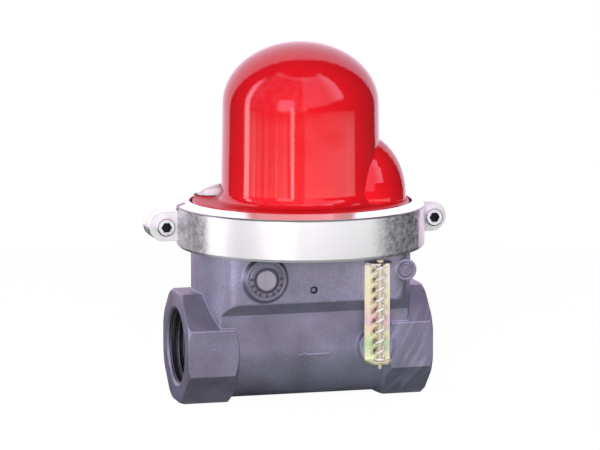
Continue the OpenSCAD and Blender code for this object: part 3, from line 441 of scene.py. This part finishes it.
ring_metal = ring_finish("brushed_ring")
print("ring finish:", ring_metal.name, "with", len(SCUFFS_AND_REFLECTION), "stops round the ring")

# %% [markdown]
# ## Yellow chromate plating
# The bracket is sheet steel with yellow chromate plating, which shifts between straw, pink and green like
# oil on water. The colour follows the height along the strip through a ramp, and a slow noise bends it. The
# spring's shadow is painted as slanting dark marks on the strip behind it, the ring's shadow is painted as
# black blots on the top end and on the faces that look up there, and painted shade darkens the low tab.

# %% Chromate plating
STRIP_LOW, STRIP_LONG = 18.4, 44.0
STRIP_HIGH = STRIP_LOW + STRIP_LONG
COIL_PITCH = 4.5
# painted shadow of the spring lies across this width of the strip
BEHIND_COIL_X = (23.7, 26.2)
PLATING_COLOURS = [
    (0.04, (0.96, 0.94, 0.66)), (0.16, (0.66, 0.88, 0.52)), (0.30, (1.0, 0.95, 0.62)),
    (0.44, (1.0, 0.68, 0.74)), (0.58, (1.0, 0.90, 0.66)), (0.78, (1.0, 0.97, 0.66)),
    (0.92, (1.0, 0.92, 0.80)),
]


def spring_shadow(tree, parts, spots):
    """Painted shadow of the spring's turns on the strip behind it."""
    slant = minus(tree, parts["Z"], product(tree, parts["X"], 0.7))
    turns = math_node(tree, "SINE", product(tree, slant, math.tau / (COIL_PITCH * MM)))
    turns = total(tree, 0.55, product(tree, turns, 0.45))
    turns = product(tree, turns, ramp(tree, spots, [(0.35, 0.5), (0.6, 1.2)]))
    on_strip = band(tree, parts["Z"], STRIP_LOW + 2.5, STRIP_HIGH - 3, 1.0)
    return product(tree, band(tree, parts["X"], *BEHIND_COIL_X, 1.0), turns, on_strip)


def plated_finish(name):
    finish, tree, shader = new_finish(name)
    place = object_place(tree)
    parts = coordinates(tree, place)
    height = parts["Z"]
    drift = noise(tree, stretched(tree, place, (110.0, 60.0, 70.0)), 1.0, 2.0)
    level = math_node(tree, "DIVIDE", minus(tree, height, STRIP_LOW * MM), STRIP_LONG * MM)
    colour = ramp(tree, total(tree, level, swing(tree, drift, 0.55)), PLATING_COLOURS)
    spots = noise(tree, place, 900, 3.0)
    colour = tinted(tree, colour, ramp(tree, spots, [(0.3, 0.96), (0.6, 1.0)]))
    # painted shadow of the spring
    colour = blend_colours(tree, spring_shadow(tree, parts, spots), colour, (0.15, 0.05, 0.04))
    # painted shadow of the ring, in black blots on the top end
    top_shadow_blots = ramp(tree, noise(tree, place, 380, 2.0), [(0.46, 0.0), (0.54, 0.9)])
    high_end = band(tree, height, STRIP_HIGH - 2.4, STRIP_HIGH + 1.0, 0.5)
    colour = blend_colours(tree, product(tree, high_end, top_shadow_blots), colour, (0.03, 0.025, 0.02))
    # painted shade on the low tab
    low_tab = band(tree, height, STRIP_LOW - 1.5, STRIP_LOW + 0.9, 0.2)
    tab_shade = product(tree, low_tab, ramp(tree, spots, [(0.35, 0.9), (0.6, 0.45)]))
    colour = blend_colours(tree, tab_shade, colour, (0.22, 0.18, 0.07))
    # painted shadow of the ring on the faces that look up at the top
    top_shadow = product(tree, above(tree, upward(tree), 0.7), 0.8, above(tree, height, (STRIP_HIGH - 1) * MM))
    colour = blend_colours(tree, top_shadow, colour, (0.02, 0.018, 0.015))
    normal = bumped(tree, spots, 0.3, 0.02 * MM, rounded(tree, 0.25 * MM))
    rough = ramp(tree, spots, [(0.3, 0.26), (0.7, 0.4)])
    wire(tree, shader, Base_Color=colour, Metallic=0.3, Roughness=rough, Normal=normal)
    return finish


plating = plated_finish("yellow_plating")
print("plating:", plating.name, "along", STRIP_LONG, "mm of strip")

# %% [markdown]
# ## Red moulded plastic
# The dome is a thick injection moulding in a deep red with a mirror-like skin. The colour is nearly even,
# and the surface waves by a small part of a millimetre, which bends the reflections. Fine dust breaks the
# gloss up in places, and the flat rim is duller. The bevel that rounds the edges in the shader grows with
# the height, because the dome's top edge is much softer than its foot.

# %% Glossy red plastic
RIM_TOP = 95.0
ROUND_LOW_Z, ROUND_HIGH_Z = 100.0, 112.0
ROUND_LOW_R, ROUND_HIGH_R = 0.5, 2.2


def red_finish(name):
    finish, tree, shader = new_finish(name)
    place = object_place(tree)
    cloud = noise(tree, place, 30, 3.0)
    wave = noise(tree, place, 45, 1.0)
    peel = noise(tree, place, 520, 2.0)
    dust = noise(tree, place, 2200, 2.0)
    colour = ramp(tree, cloud, [(0.35, (0.755, 0.006, 0.013)), (0.65, (0.815, 0.010, 0.019))])
    height = coordinates(tree, place)["Z"]
    heights = {"From Min": ROUND_LOW_Z * MM, "From Max": ROUND_HIGH_Z * MM}
    radii = {"To Min": ROUND_LOW_R * MM, "To Max": ROUND_HIGH_R * MM}
    rounding = add(tree, "MapRange", {"Value": height, **heights, **radii}).outputs["Result"]
    normal = bumped(tree, wave, 0.35, 0.22 * MM, rounded(tree, rounding))
    normal = bumped(tree, peel, 0.12, 0.02 * MM, normal)
    flat_rim = product(tree, above(tree, upward(tree), 0.9), below(tree, height, RIM_TOP * MM), 0.4)
    gloss = total(tree, ramp(tree, dust, [(0.55, 0.045), (0.8, 0.16)]), flat_rim)
    wire(tree, shader, Base_Color=colour, Roughness=gloss, Normal=normal)
    return finish


red_plastic = red_finish("red_moulding")
print("plastic:", red_plastic.name)

# %% [markdown]
# ## Rubber, white plastic and the level's lens
# Seals are dull black rubber. The level has a white cup with a clear lens over pale liquid. The lens lets
# light through, so it has a recipe of its own, with transmission and the refraction of a clear plastic.

# %% Rubber, cup, lens and liquid
def plain_finish(name, tone, rough):
    finish, tree, shader = new_finish(name)
    place = object_place(tree)
    cloud = noise(tree, place, 160, 4.0)
    colour = ramp(tree, cloud, [(0.3, tuple(0.88 * c for c in tone)), (0.7, tone)])
    normal = bumped(tree, noise(tree, place, 900, 3.0), 0.3, 0.03 * MM, rounded(tree, 0.2 * MM))
    rough_map = ramp(tree, cloud, [(0.3, rough), (0.7, min(1.0, rough + 0.12))])
    wire(tree, shader, Base_Color=colour, Roughness=rough_map, Normal=normal)
    return finish


def clear_finish(name, tone, rough):
    finish, tree, shader = new_finish(name)
    smear = noise(tree, object_place(tree), 420, 3.0)
    colour = ramp(tree, smear, [(0.3, tuple(0.95 * c for c in tone)), (0.7, tone)])
    wire(tree, shader, Base_Color=colour, Roughness=ramp(tree, smear, [(0.4, rough), (0.8, rough + 0.08)]),
         Normal=bumped(tree, smear, 0.1, 0.02 * MM), Transmission_Weight=0.55, IOR=1.49)
    return finish


rubber = plain_finish("seal_rubber", (0.03, 0.03, 0.033), 0.62)
white_cup = plain_finish("white_cup", (0.83, 0.82, 0.87), 0.3)
level_liquid = plain_finish("level_liquid", (0.82, 0.80, 0.90), 0.15)
lens_clear = clear_finish("level_lens_clear", (0.95, 0.88, 0.97), 0.06)
print("soft finishes:", rubber.name, white_cup.name, level_liquid.name, lens_clear.name)

# %% [markdown]
# ## Finishes for the CAD pieces
# Each CAD piece keeps its shape and takes one of the finishes above in its material slots.

# %% Dress the CAD pieces
pieces_in = [
    (cast_metal, "valve_body"),
    (plug_metal, "lever_plug index_screw"),
    (bush_shade_steel, "reset_bush"),
    (shaft_steel, "reset_shaft"),
    (brass, "valve_seat gate_disc actuator_mass"),
    (rubber, "gate_seal shaft_seal dome_gasket"),
    (steel, "gate_arm hub_pin lever_pin trip_lever magnet_cup mechanism_plate pedestal mass_socket"),
    (bright_steel, "gate_nut gate_spring pull_rod plate_screws pedestal_screws mass_guard clamp_screws"),
    (magnet_black, "latch_magnet"),
    (red_plastic, "dome_cover"),
    (ring_metal, "clamp_front clamp_rear"),
    (white_cup, "level_cup"),
    (lens_clear, "level_lens"),
    (level_liquid, "level_bubble"),
    (plating, "spring_bracket bracket_screws"),
    (straw_steel, "plunger_rod"),
    (spring_steel, "plunger_clip plunger_spring"),
]
finish_of = {name: finish for finish, names in pieces_in for name in names.split()}
for name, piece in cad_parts.items():
    piece.data.materials.clear()
    piece.data.materials.append(finish_of[name])
print("dressed", len(finish_of), "pieces")

# %% [markdown]
# ## Helpers for small pieces
# A small piece is a mesh made from points and faces. One helper makes the object, gives it its finish and
# lets it ride on a CAD body. Another joins rings of points with faces, as round a tube, and a third turns a
# flat outline into a thin raised plate.

# %% Make a piece
def new_piece(name, points, faces, finish, smooth=True):
    mesh = bpy.data.meshes.new(name)
    mesh.from_pydata([tuple(p) for p in points], [], faces)
    mesh.validate()
    shape = bmesh.new()
    shape.from_mesh(mesh)
    bmesh.ops.recalc_face_normals(shape, faces=shape.faces)
    shape.to_mesh(mesh)
    shape.free()
    for face in mesh.polygons:
        face.use_smooth = smooth
    mesh.materials.append(finish)
    piece = bpy.data.objects.new(name, mesh)
    bpy.context.scene.collection.objects.link(piece)
    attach(piece, "housing")
    return piece


def tube_faces(rings, sides, closed=False):
    """Faces between rings of points, each with this many sides; a closed tube runs back into itself."""
    faces = []
    for i in range(rings if closed else rings - 1):
        for j in range(sides):
            a, b = i * sides + j, i * sides + (j + 1) % sides
            faces.append(tuple(n % (rings * sides) for n in (a, b, b + sides, a + sides)))
    return faces


def raised_outline(outline, place, low, high, draft):
    """Points and faces of a plate: outline in millimetres, place turns (u, v, height) into a point."""
    count = len(outline)
    middle_u = sum(u for u, v in outline) / count
    middle_v = sum(v for u, v in outline) / count
    top = []
    for u, v in outline:
        away = math.hypot(u - middle_u, v - middle_v) or 1.0
        top.append((u - draft * (u - middle_u) / away, v - draft * (v - middle_v) / away))
    points = [place(u, v, low) for u, v in outline] + [place(u, v, high) for u, v in top]
    return points, tube_faces(2, count) + [tuple(range(count, 2 * count)), tuple(reversed(range(count)))]


print("piece helpers are ready")

# %% [markdown]
# ## Pipe threads in the two ports
# Each port has a 1 inch pipe thread with 11.5 turns to the inch. The CAD bore is the root of the thread, and
# the ridge is swept here along a helix, with a section that fades out at both ends.

# %% Port threads
THREAD_PITCH = 25.4 / 11.5
THREAD_LONG = 14.0
ROOT_R, ROOT_SINK = 15.82, 0.1
RIDGE_H, ROOT_HALF, CREST_HALF = 1.25, 1.02, 0.22
STEPS_PER_TURN, FADE_STEPS = 72, 30
OUTLET_START_X, INLET_START_X = -53.6, 50.7


def thread_ridge(name, start_x, towards):
    count = int(THREAD_LONG / THREAD_PITCH * STEPS_PER_TURN)
    points = []
    for i in range(count + 1):
        fade = min(1.0, i / FADE_STEPS, (count - i) / FADE_STEPS)
        crest = ROOT_R - RIDGE_H * max(fade, 0.02)
        root = ROOT_R + ROOT_SINK
        turn = math.tau * i / STEPS_PER_TURN
        along = THREAD_PITCH * i / STEPS_PER_TURN
        section = [(-ROOT_HALF, root), (-CREST_HALF, crest), (CREST_HALF, crest), (ROOT_HALF, root)]
        for offset, radius in section:
            x = start_x + towards * (along + offset)
            points.append(Vector((x, radius * math.cos(turn), AXIS_Z + radius * math.sin(turn))) * MM)
    faces = tube_faces(count + 1, 4)
    faces.append((0, 1, 2, 3))
    faces.append((4 * count + 3, 4 * count + 2, 4 * count + 1, 4 * count))
    return new_piece(name, points, faces, cast_metal, smooth=False)


outlet_thread = thread_ridge("outlet_thread", OUTLET_START_X, 1)
inlet_thread = thread_ridge("inlet_thread", INLET_START_X, -1)
print("threads:", len(outlet_thread.data.vertices), "points each")

# %% [markdown]
# ## Marks cast on the body
# A plain 1 on the left end tells the pipe size, an arrow shows which way the gas flows, and the boss round
# the reset shaft has short radial ticks. All are raised a few tenths of a millimetre, as cast marks are.

# %% Size mark and flow arrow
BARREL_R = 23.3


def on_front(x0, z0, y0):
    return lambda u, v, height: Vector((x0 + u, -(y0 + height), z0 + v)) * MM


def on_barrel(x0, z0):
    def place(u, v, height):
        z = z0 + v - AXIS_Z
        reach = math.sqrt(BARREL_R ** 2 - z ** 2)
        scale = (BARREL_R + height) / BARREL_R
        return Vector((x0 + u, -reach * scale, AXIS_Z + z * scale)) * MM

    return place


one = [(-0.35, -2.2), (0.35, -2.2), (0.35, 2.2), (-0.1, 2.2), (-1.15, 1.45), (-1.15, 0.95), (-0.35, 1.4)]
points, faces = raised_outline(one, on_front(x0=-44.6, z0=24.2, y0=24.0), low=-0.1, high=0.28, draft=0.08)
size_mark = new_piece("size_mark", points, faces, cast_metal, smooth=False)

arrow = [(-7.2, 0.0), (-3.6, 1.7), (-3.9, 0.55), (7.0, 0.55), (7.0, -0.55), (-3.9, -0.55), (-3.6, -1.7)]
points, faces = raised_outline(arrow, on_barrel(x0=-0.4, z0=21.6), low=-0.15, high=0.3, draft=0.1)
flow_arrow = new_piece("flow_arrow", points, faces, cast_metal, smooth=False)
print("marks:", size_mark.name, flow_arrow.name)

# %% Ticks on the reset boss
TICK_ANGLES = (-160, -138, -116, -90, -64, -42, -20, 5, 175)
TICK_FROM_R, TICK_TO_R, TICK_HALF = 5.8, 7.3, 0.36

on_boss = on_front(BOSS_X, BOSS_Z, BOSS_Y)
tick_points, tick_faces = [], []
for angle in TICK_ANGLES:
    a = math.radians(angle)
    out = Vector((math.cos(a), math.sin(a)))
    side = Vector((-out.y, out.x)) * TICK_HALF
    inner, outer = out * TICK_FROM_R, out * TICK_TO_R
    corners = (inner - side, outer - side, outer + side, inner + side)
    outline = [(corner.x, corner.y) for corner in corners]
    points, faces = raised_outline(outline, on_boss, low=-0.1, high=0.35, draft=0.08)
    start = len(tick_points)
    tick_points += points
    tick_faces += [tuple(start + i for i in face) for face in faces]
reset_ticks = new_piece("reset_ticks", tick_points, tick_faces, oiled_metal, smooth=False)
print("ticks:", len(TICK_ANGLES))

# %% [markdown]
# ## Plunger spring
# The wire spring pushes the plunger's clip away from the bracket's top, and it gets shorter when the plunger
# is pushed up. A rigid CAD solid can't do that, so the spring is drawn again here, in the same place and of
# the same length, with its end turns wound closed.

# %% Wind the spring
SPRING_X, SPRING_Y = 26.3, -33.9
SPRING_LOW, SPRING_HIGH = 20.7, 61.2
COIL_R, WIRE_R = 1.6, 0.56
SPRING_TURNS, CLOSED_TURNS = 9.0, 0.25


def wound_height(turn):
    """Height of the wire's middle above its lowest turn, after this many turns."""
    long = SPRING_HIGH - SPRING_LOW - 2 * WIRE_R
    closed = 2 * WIRE_R * CLOSED_TURNS
    if turn < CLOSED_TURNS:
        return 2 * WIRE_R * turn
    if turn > SPRING_TURNS - CLOSED_TURNS:
        return long - 2 * WIRE_R * (SPRING_TURNS - turn)
    share = (turn - CLOSED_TURNS) / (SPRING_TURNS - 2 * CLOSED_TURNS)
    return closed + share * (long - 2 * closed)


def round_wire(middle, around, radius, sides):
    """Points round a wire's middle, where around is the way out of its bend and the other way is up."""
    points = []
    for j in range(sides):
        a = math.tau * j / sides
        rise = Vector((0.0, 0.0, radius * math.sin(a)))
        points.append((middle + around * radius * math.cos(a) + rise) * MM)
    return points


def wind_spring(name, steps=28, sides=12):
    count = int(SPRING_TURNS * steps)
    points = []
    for i in range(count + 1):
        turn = i / steps
        around = Vector((math.cos(math.tau * turn), math.sin(math.tau * turn), 0.0))
        middle = Vector((SPRING_X, SPRING_Y, SPRING_LOW + WIRE_R + wound_height(turn))) + around * COIL_R
        points += round_wire(middle, around, WIRE_R, sides)
    faces = tube_faces(count + 1, sides)
    faces.append(tuple(range(sides)))
    faces.append(tuple(count * sides + j for j in reversed(range(sides))))
    return new_piece(name, points, faces, spring_steel)


wound_spring = wind_spring("wound_spring")
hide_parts("plunger_spring")
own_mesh(wound_spring)
print("spring points:", len(wound_spring.data.vertices))

# %% [markdown]
# ## Dark ring, and painted shade in the hollows
# A thin black rubber ring runs round the foot of the level's lens and draws a dark outline there. The
# hexagon sockets of the two clamp screws are painted black as shade: a thin black hexagon lies at the bottom
# of each, and a short wall runs up its side. The small index mark on the front has a black ring round its
# bright centre, as painted shade of its recess.

# %% Dark ring round the level
LEVEL_TURN, LEVEL_OUT, LEVEL_RING_Z = math.radians(152), 41.2, 87.35
DARK_RING_R, DARK_RING_THICK = 6.2, 0.26


def dark_ring(name, middle, radius, thick, steps=64, sides=10):
    points = []
    for i in range(steps):
        turn = math.tau * i / steps
        around = Vector((math.cos(turn), math.sin(turn), 0.0))
        points += round_wire(Vector(middle) + around * radius, around, thick, sides)
    return new_piece(name, points, tube_faces(steps, sides, closed=True), rubber)


level_middle = (LEVEL_OUT * math.cos(LEVEL_TURN), LEVEL_OUT * math.sin(LEVEL_TURN), LEVEL_RING_Z)
# a thin black rubber ring that draws a dark outline round the foot of the lens
level_dark_ring = dark_ring("level_dark_ring", level_middle, DARK_RING_R, DARK_RING_THICK)
print("seal:", level_dark_ring.name, "radius", DARK_RING_R, "mm")

# %% Painted shade in the sockets and round the index mark
LUG_X, SCREW_Z, SCREW_FACE_Y = 60.6, 76.4, -2.6
LINER_SINK, LINER_DEPTH, LINER_R, LINER_TAPER = 0.35, 1.6, 2.26, 0.99
INDEX_X, INDEX_Z, INDEX_FACE_Y = -1.8, 50.7, -28.3
INDEX_DEPTH, INDEX_OUTER_R, INDEX_INNER_R = 0.6, 1.57, 1.0
# painted shade: a black finish for the sockets and the index mark's recess
shade_black = plain_finish("painted_shade_black", (0.006, 0.006, 0.008), 0.5)


def shade_liner(name, x, z, mouth_y, depth, radius, sides, inner=None):
    """A wall round a hollow with a bottom, or with a rim down to the inner radius where one is given."""
    turns = [math.tau * i / sides for i in range(sides)]
    rim = [(radius * math.cos(a), radius * math.sin(a)) for a in turns]
    rings = [(1.0, mouth_y), (LINER_TAPER, mouth_y + depth)]
    if inner is not None:
        rings.append((inner / radius, mouth_y + depth))
    points = [Vector((x + u * size, y, z + v * size)) * MM for size, y in rings for u, v in rim]
    faces = tube_faces(len(rings), sides)
    if inner is None:
        faces.append(tuple(reversed(range(sides, 2 * sides))))
    return new_piece(name, points, faces, shade_black, smooth=False)


# painted shade: black hexagon liners in the two screw sockets
screw_socket = (SCREW_Z, SCREW_FACE_Y + LINER_SINK, LINER_DEPTH, LINER_R, 6)
left_liner = shade_liner("left_socket_shade", -LUG_X, *screw_socket)
right_liner = shade_liner("right_socket_shade", LUG_X, *screw_socket)
# painted shade: a black ring round the index mark's bright centre
index_shade_ring = shade_liner("index_shade_ring", INDEX_X, INDEX_Z, INDEX_FACE_Y, INDEX_DEPTH, INDEX_OUTER_R, 24,
                   inner=INDEX_INNER_R)
print("dark pieces:", left_liner.name, right_liner.name, index_shade_ring.name)

# %% [markdown]
# ## Floor, backdrop and light
# The valve stands on a pale round table in a white light tent. The floor and the sky count as white for the
# camera and for mirror-like rays. For reflections the tent also has its dark openings and two thin bright
# lamp tubes, because a glossy dome and a polished ring show mostly what stands round them.

# %% Floor
FLOOR_R, FLOOR_Z = 0.45, -0.0002


def floor_finish():
    finish = bpy.data.materials.new("floor_paper")
    finish.use_nodes = True
    tree = finish.node_tree
    tree.nodes.clear()
    paper = add(tree, "BsdfDiffuse", {"Color": (0.15, 0.15, 0.16, 1.0)})
    glow = add(tree, "Emission", {"Color": (1.0, 1.0, 1.0, 1.0), "Strength": 0.95})
    seen = add(tree, "LightPath").outputs["Is Camera Ray"]
    dark = add(tree, "Emission", {"Color": (0.0, 0.0, 0.0, 1.0), "Strength": 0.0})
    extra = add(tree, "MixShader", {"Fac": seen, 1: dark.outputs[0], 2: glow.outputs[0]})
    both = add(tree, "AddShader", {0: paper.outputs[0], 1: extra.outputs[0]})
    out = add(tree, "OutputMaterial")
    tree.links.new(both.outputs[0], out.inputs["Surface"])
    return finish


def round_floor(name, radius, height, finish, rim=128):
    turns = [math.tau * i / rim for i in range(rim)]
    points = [Vector((radius * math.cos(a), radius * math.sin(a), height)) for a in turns]
    mesh = bpy.data.meshes.new(name)
    mesh.from_pydata(points, [], [tuple(range(rim))])
    mesh.materials.append(finish)
    made = bpy.data.objects.new(name, mesh)
    bpy.context.scene.collection.objects.link(made)
    return made


floor = round_floor("floor", FLOOR_R, FLOOR_Z, floor_finish())
print(floor.name, "radius", FLOOR_R, "m")

# %% [markdown]
# The camera stands in front, a little to the left and a little above, one and a half metres away with a long
# lens, and looks at the middle of the valve. That gives the view of the photograph. Its shift and its depth
# of field stay off, so it can be moved to any other side.

# %% Camera
TARGET = Vector((-0.25, 0.0, 75.0)) * MM
TO_CAMERA = Vector((-0.2615, -0.9545, 0.1434)).normalized()
CAMERA_DISTANCE = 1.501
camera_data = bpy.data.cameras.new("camera")
camera_data.sensor_width = 36.0
camera_data.lens = 206.06
camera_data.clip_end = 20.0
camera = bpy.data.objects.new("camera", camera_data)
camera.location = TARGET + TO_CAMERA * CAMERA_DISTANCE
camera.rotation_euler = (-TO_CAMERA).to_track_quat("-Z", "Y").to_euler()
bpy.context.scene.collection.objects.link(camera)
bpy.context.scene.camera = camera
print("camera at", [round(c, 3) for c in camera.location])

# %% [markdown]
# The sky is drawn by two measures of each direction: its turn about the valve, in degrees from the camera,
# and its height, from -1 below to 1 above. Walls of cloth stand low in front, with two lamp tubes and a dark
# slit between them. Above them a window fills the right side. The sides and the top stay dark, and behind
# the valve the white backdrop begins, which gives the dome and the ring their bright outer edges.

# %% Panels of the tent
LOW_CLOTH = (-0.7, -0.082, 0.015)
PANELS = {
    # turn from, to and soft border; height from, to and soft border; brightness; whether folds show
    "left cloth": ((-79, -8, 1.5), LOW_CLOTH, 1.5, True),
    "right cloth": ((6, 85, 1.5), LOW_CLOTH, 1.7, False),
    "seam": ((71.5, 74.5, 0.7), LOW_CLOTH, 0.4, False),
    "slit": ((-8, 6, 1.0), LOW_CLOTH, 0.5, False),
    "outer tube": ((-89.5, -80, 0.8), (-0.7, 0.7, 0.15), 5.4, False),
    "inner tube": ((-14, -9.5, 0.8), (-0.7, 0.0, 0.05), 5.0, False),
    "lamp head": ((-33, -10, 2.0), (-0.04, 0.34, 0.02), 2.6, False),
    "upper left": ((-80, 5, 3.0), (-0.04, 0.9, 0.04), 0.6, True),
    "top line": ((-84, 30, 4.0), (0.9, 0.935, 0.01), 1.2, False),
}
WINDOW_TURN, WINDOW_TOP = (4, 70, 1.5), (0.95, 0.90)
SILL_SLANT, SILL_EDGE = 0.0055, (-0.09, -0.05)


def smooth_step(tree, value, low, high):
    inputs = {"Value": value, "From Min": low, "From Max": high}
    return add(tree, "MapRange", inputs, interpolation_type="SMOOTHSTEP").outputs["Result"]


def between(tree, value, low, high, soft):
    rise = smooth_step(tree, value, low - soft, low + soft)
    fall = smooth_step(tree, value, high + soft, high - soft)
    return product(tree, rise, fall)


def tent_panels(tree, turn, height, folds):
    """Light from all the panels in the list."""
    lights = []
    for turns, heights, brightness, folded in PANELS.values():
        light = product(tree, between(tree, turn, *turns), between(tree, height, *heights), brightness)
        lights.append(product(tree, light, folds) if folded else light)
    return total(tree, *lights)


def tent_window(tree, turn, height):
    """Light from the window on the right: its sill slants, and it is brighter further round."""
    sill = minus(tree, height, product(tree, turn, SILL_SLANT))
    glow = total(tree, 1.35, product(tree, smooth_step(tree, turn, 42, 68), 2.1))
    return product(tree, between(tree, turn, *WINDOW_TURN), smooth_step(tree, sill, *SILL_EDGE),
                   smooth_step(tree, height, *WINDOW_TOP), glow)


print("tent panels:", ", ".join(PANELS))

# %% Sky of the light tent
def tent_sky():
    world = bpy.data.worlds.new("tent")
    world.use_nodes = True
    bpy.context.scene.world = world
    tree = world.node_tree
    tree.nodes.clear()
    ray = add(tree, "TexCoord").outputs["Generated"]
    flat = Vector((TO_CAMERA.x, TO_CAMERA.y, 0.0)).normalized()
    right = Vector((-flat.y, flat.x, 0.0))
    front = vector_value(tree, "DOT_PRODUCT", ray, flat)
    side = vector_value(tree, "DOT_PRODUCT", ray, right)
    height = coordinates(tree, ray)["Z"]
    turn = product(tree, math_node(tree, "ARCTAN2", side, front), 180.0 / math.pi)
    folds = noise(tree, stretched(tree, ray, (11.0, 11.0, 0.7)), 1.0, 4.0, 0.65)
    folds = ramp(tree, folds, [(0.36, 0.2), (0.5, 0.85), (0.66, 1.5)])
    panels = total(tree, tent_panels(tree, turn, height, folds), tent_window(tree, turn, height))

    lean = total(tree, minus(tree, front, product(tree, height, 0.33)), product(tree, side, 0.1))
    ahead = smooth_step(tree, front, -0.04, 0.06)
    behind = smooth_step(tree, lean, -0.63, -0.67)
    tent = total(tree, product(tree, panels, ahead), product(tree, behind, 1.35), 0.07)
    tint = ramp(tree, total(tree, height, 0.5), [(0.4, (1.0, 1.0, 1.0)), (0.55, (0.96, 0.76, 1.0))])
    tint = blend_colours(tree, behind, tint, (1.12, 0.92, 1.12))

    path = add(tree, "LightPath").outputs
    seen = math_node(tree, "MAXIMUM", path["Is Camera Ray"], path["Is Transmission Ray"])
    white = add(tree, "Background", {"Color": (1.0, 1.0, 1.0, 1.0), "Strength": 1.0})
    mirror = add(tree, "Background", {"Color": tint, "Strength": tent})
    soft = add(tree, "Background", {"Color": (0.97, 0.97, 1.0, 1.0), "Strength": 0.07})
    first = add(tree, "MixShader", {"Fac": path["Is Glossy Ray"], 1: soft.outputs[0], 2: mirror.outputs[0]})
    second = add(tree, "MixShader", {"Fac": seen, 1: first.outputs[0], 2: white.outputs[0]})
    out = add(tree, "OutputWorld")
    tree.links.new(second.outputs[0], out.inputs["Surface"])
    return world


sky = tent_sky()
print("sky:", sky.name)

# %% [markdown]
# Four soft lamps light the matt surfaces: a wide one in front at the left, a weak one at each side and one
# above. Mirror-like rays don't see them, because the tent that is drawn on the sky stands for what glossy
# surfaces reflect.

# %% Lamps
LAMP_AIM = Vector((0.0, 0.0, 0.07))


def soft_lamp(name, at, size, power):
    data = bpy.data.lights.new(name, "AREA")
    data.shape = "RECTANGLE"
    data.size, data.size_y = size
    data.energy = power
    lamp = bpy.data.objects.new(name, data)
    lamp.location = at
    lamp.rotation_euler = (LAMP_AIM - Vector(at)).to_track_quat("-Z", "Y").to_euler()
    lamp.visible_glossy = False
    bpy.context.scene.collection.objects.link(lamp)
    return lamp


lamps = [
    soft_lamp("front_lamp", (-0.42, -1.32, 0.20), (0.8, 0.36), 20.4),
    soft_lamp("left_lamp", (-1.25, -0.35, 0.30), (0.6, 0.6), 1.8),
    soft_lamp("right_lamp", (1.15, -0.55, 0.30), (0.6, 0.6), 0.9),
    soft_lamp("top_lamp", (0.0, 0.15, 1.2), (0.9, 0.9), 2.4),
]
print("lamps:", len(lamps))

# %% [markdown]
# The Standard view shows colours about as they are written.

# %% Finish
bpy.context.scene.view_settings.view_transform = "Standard"
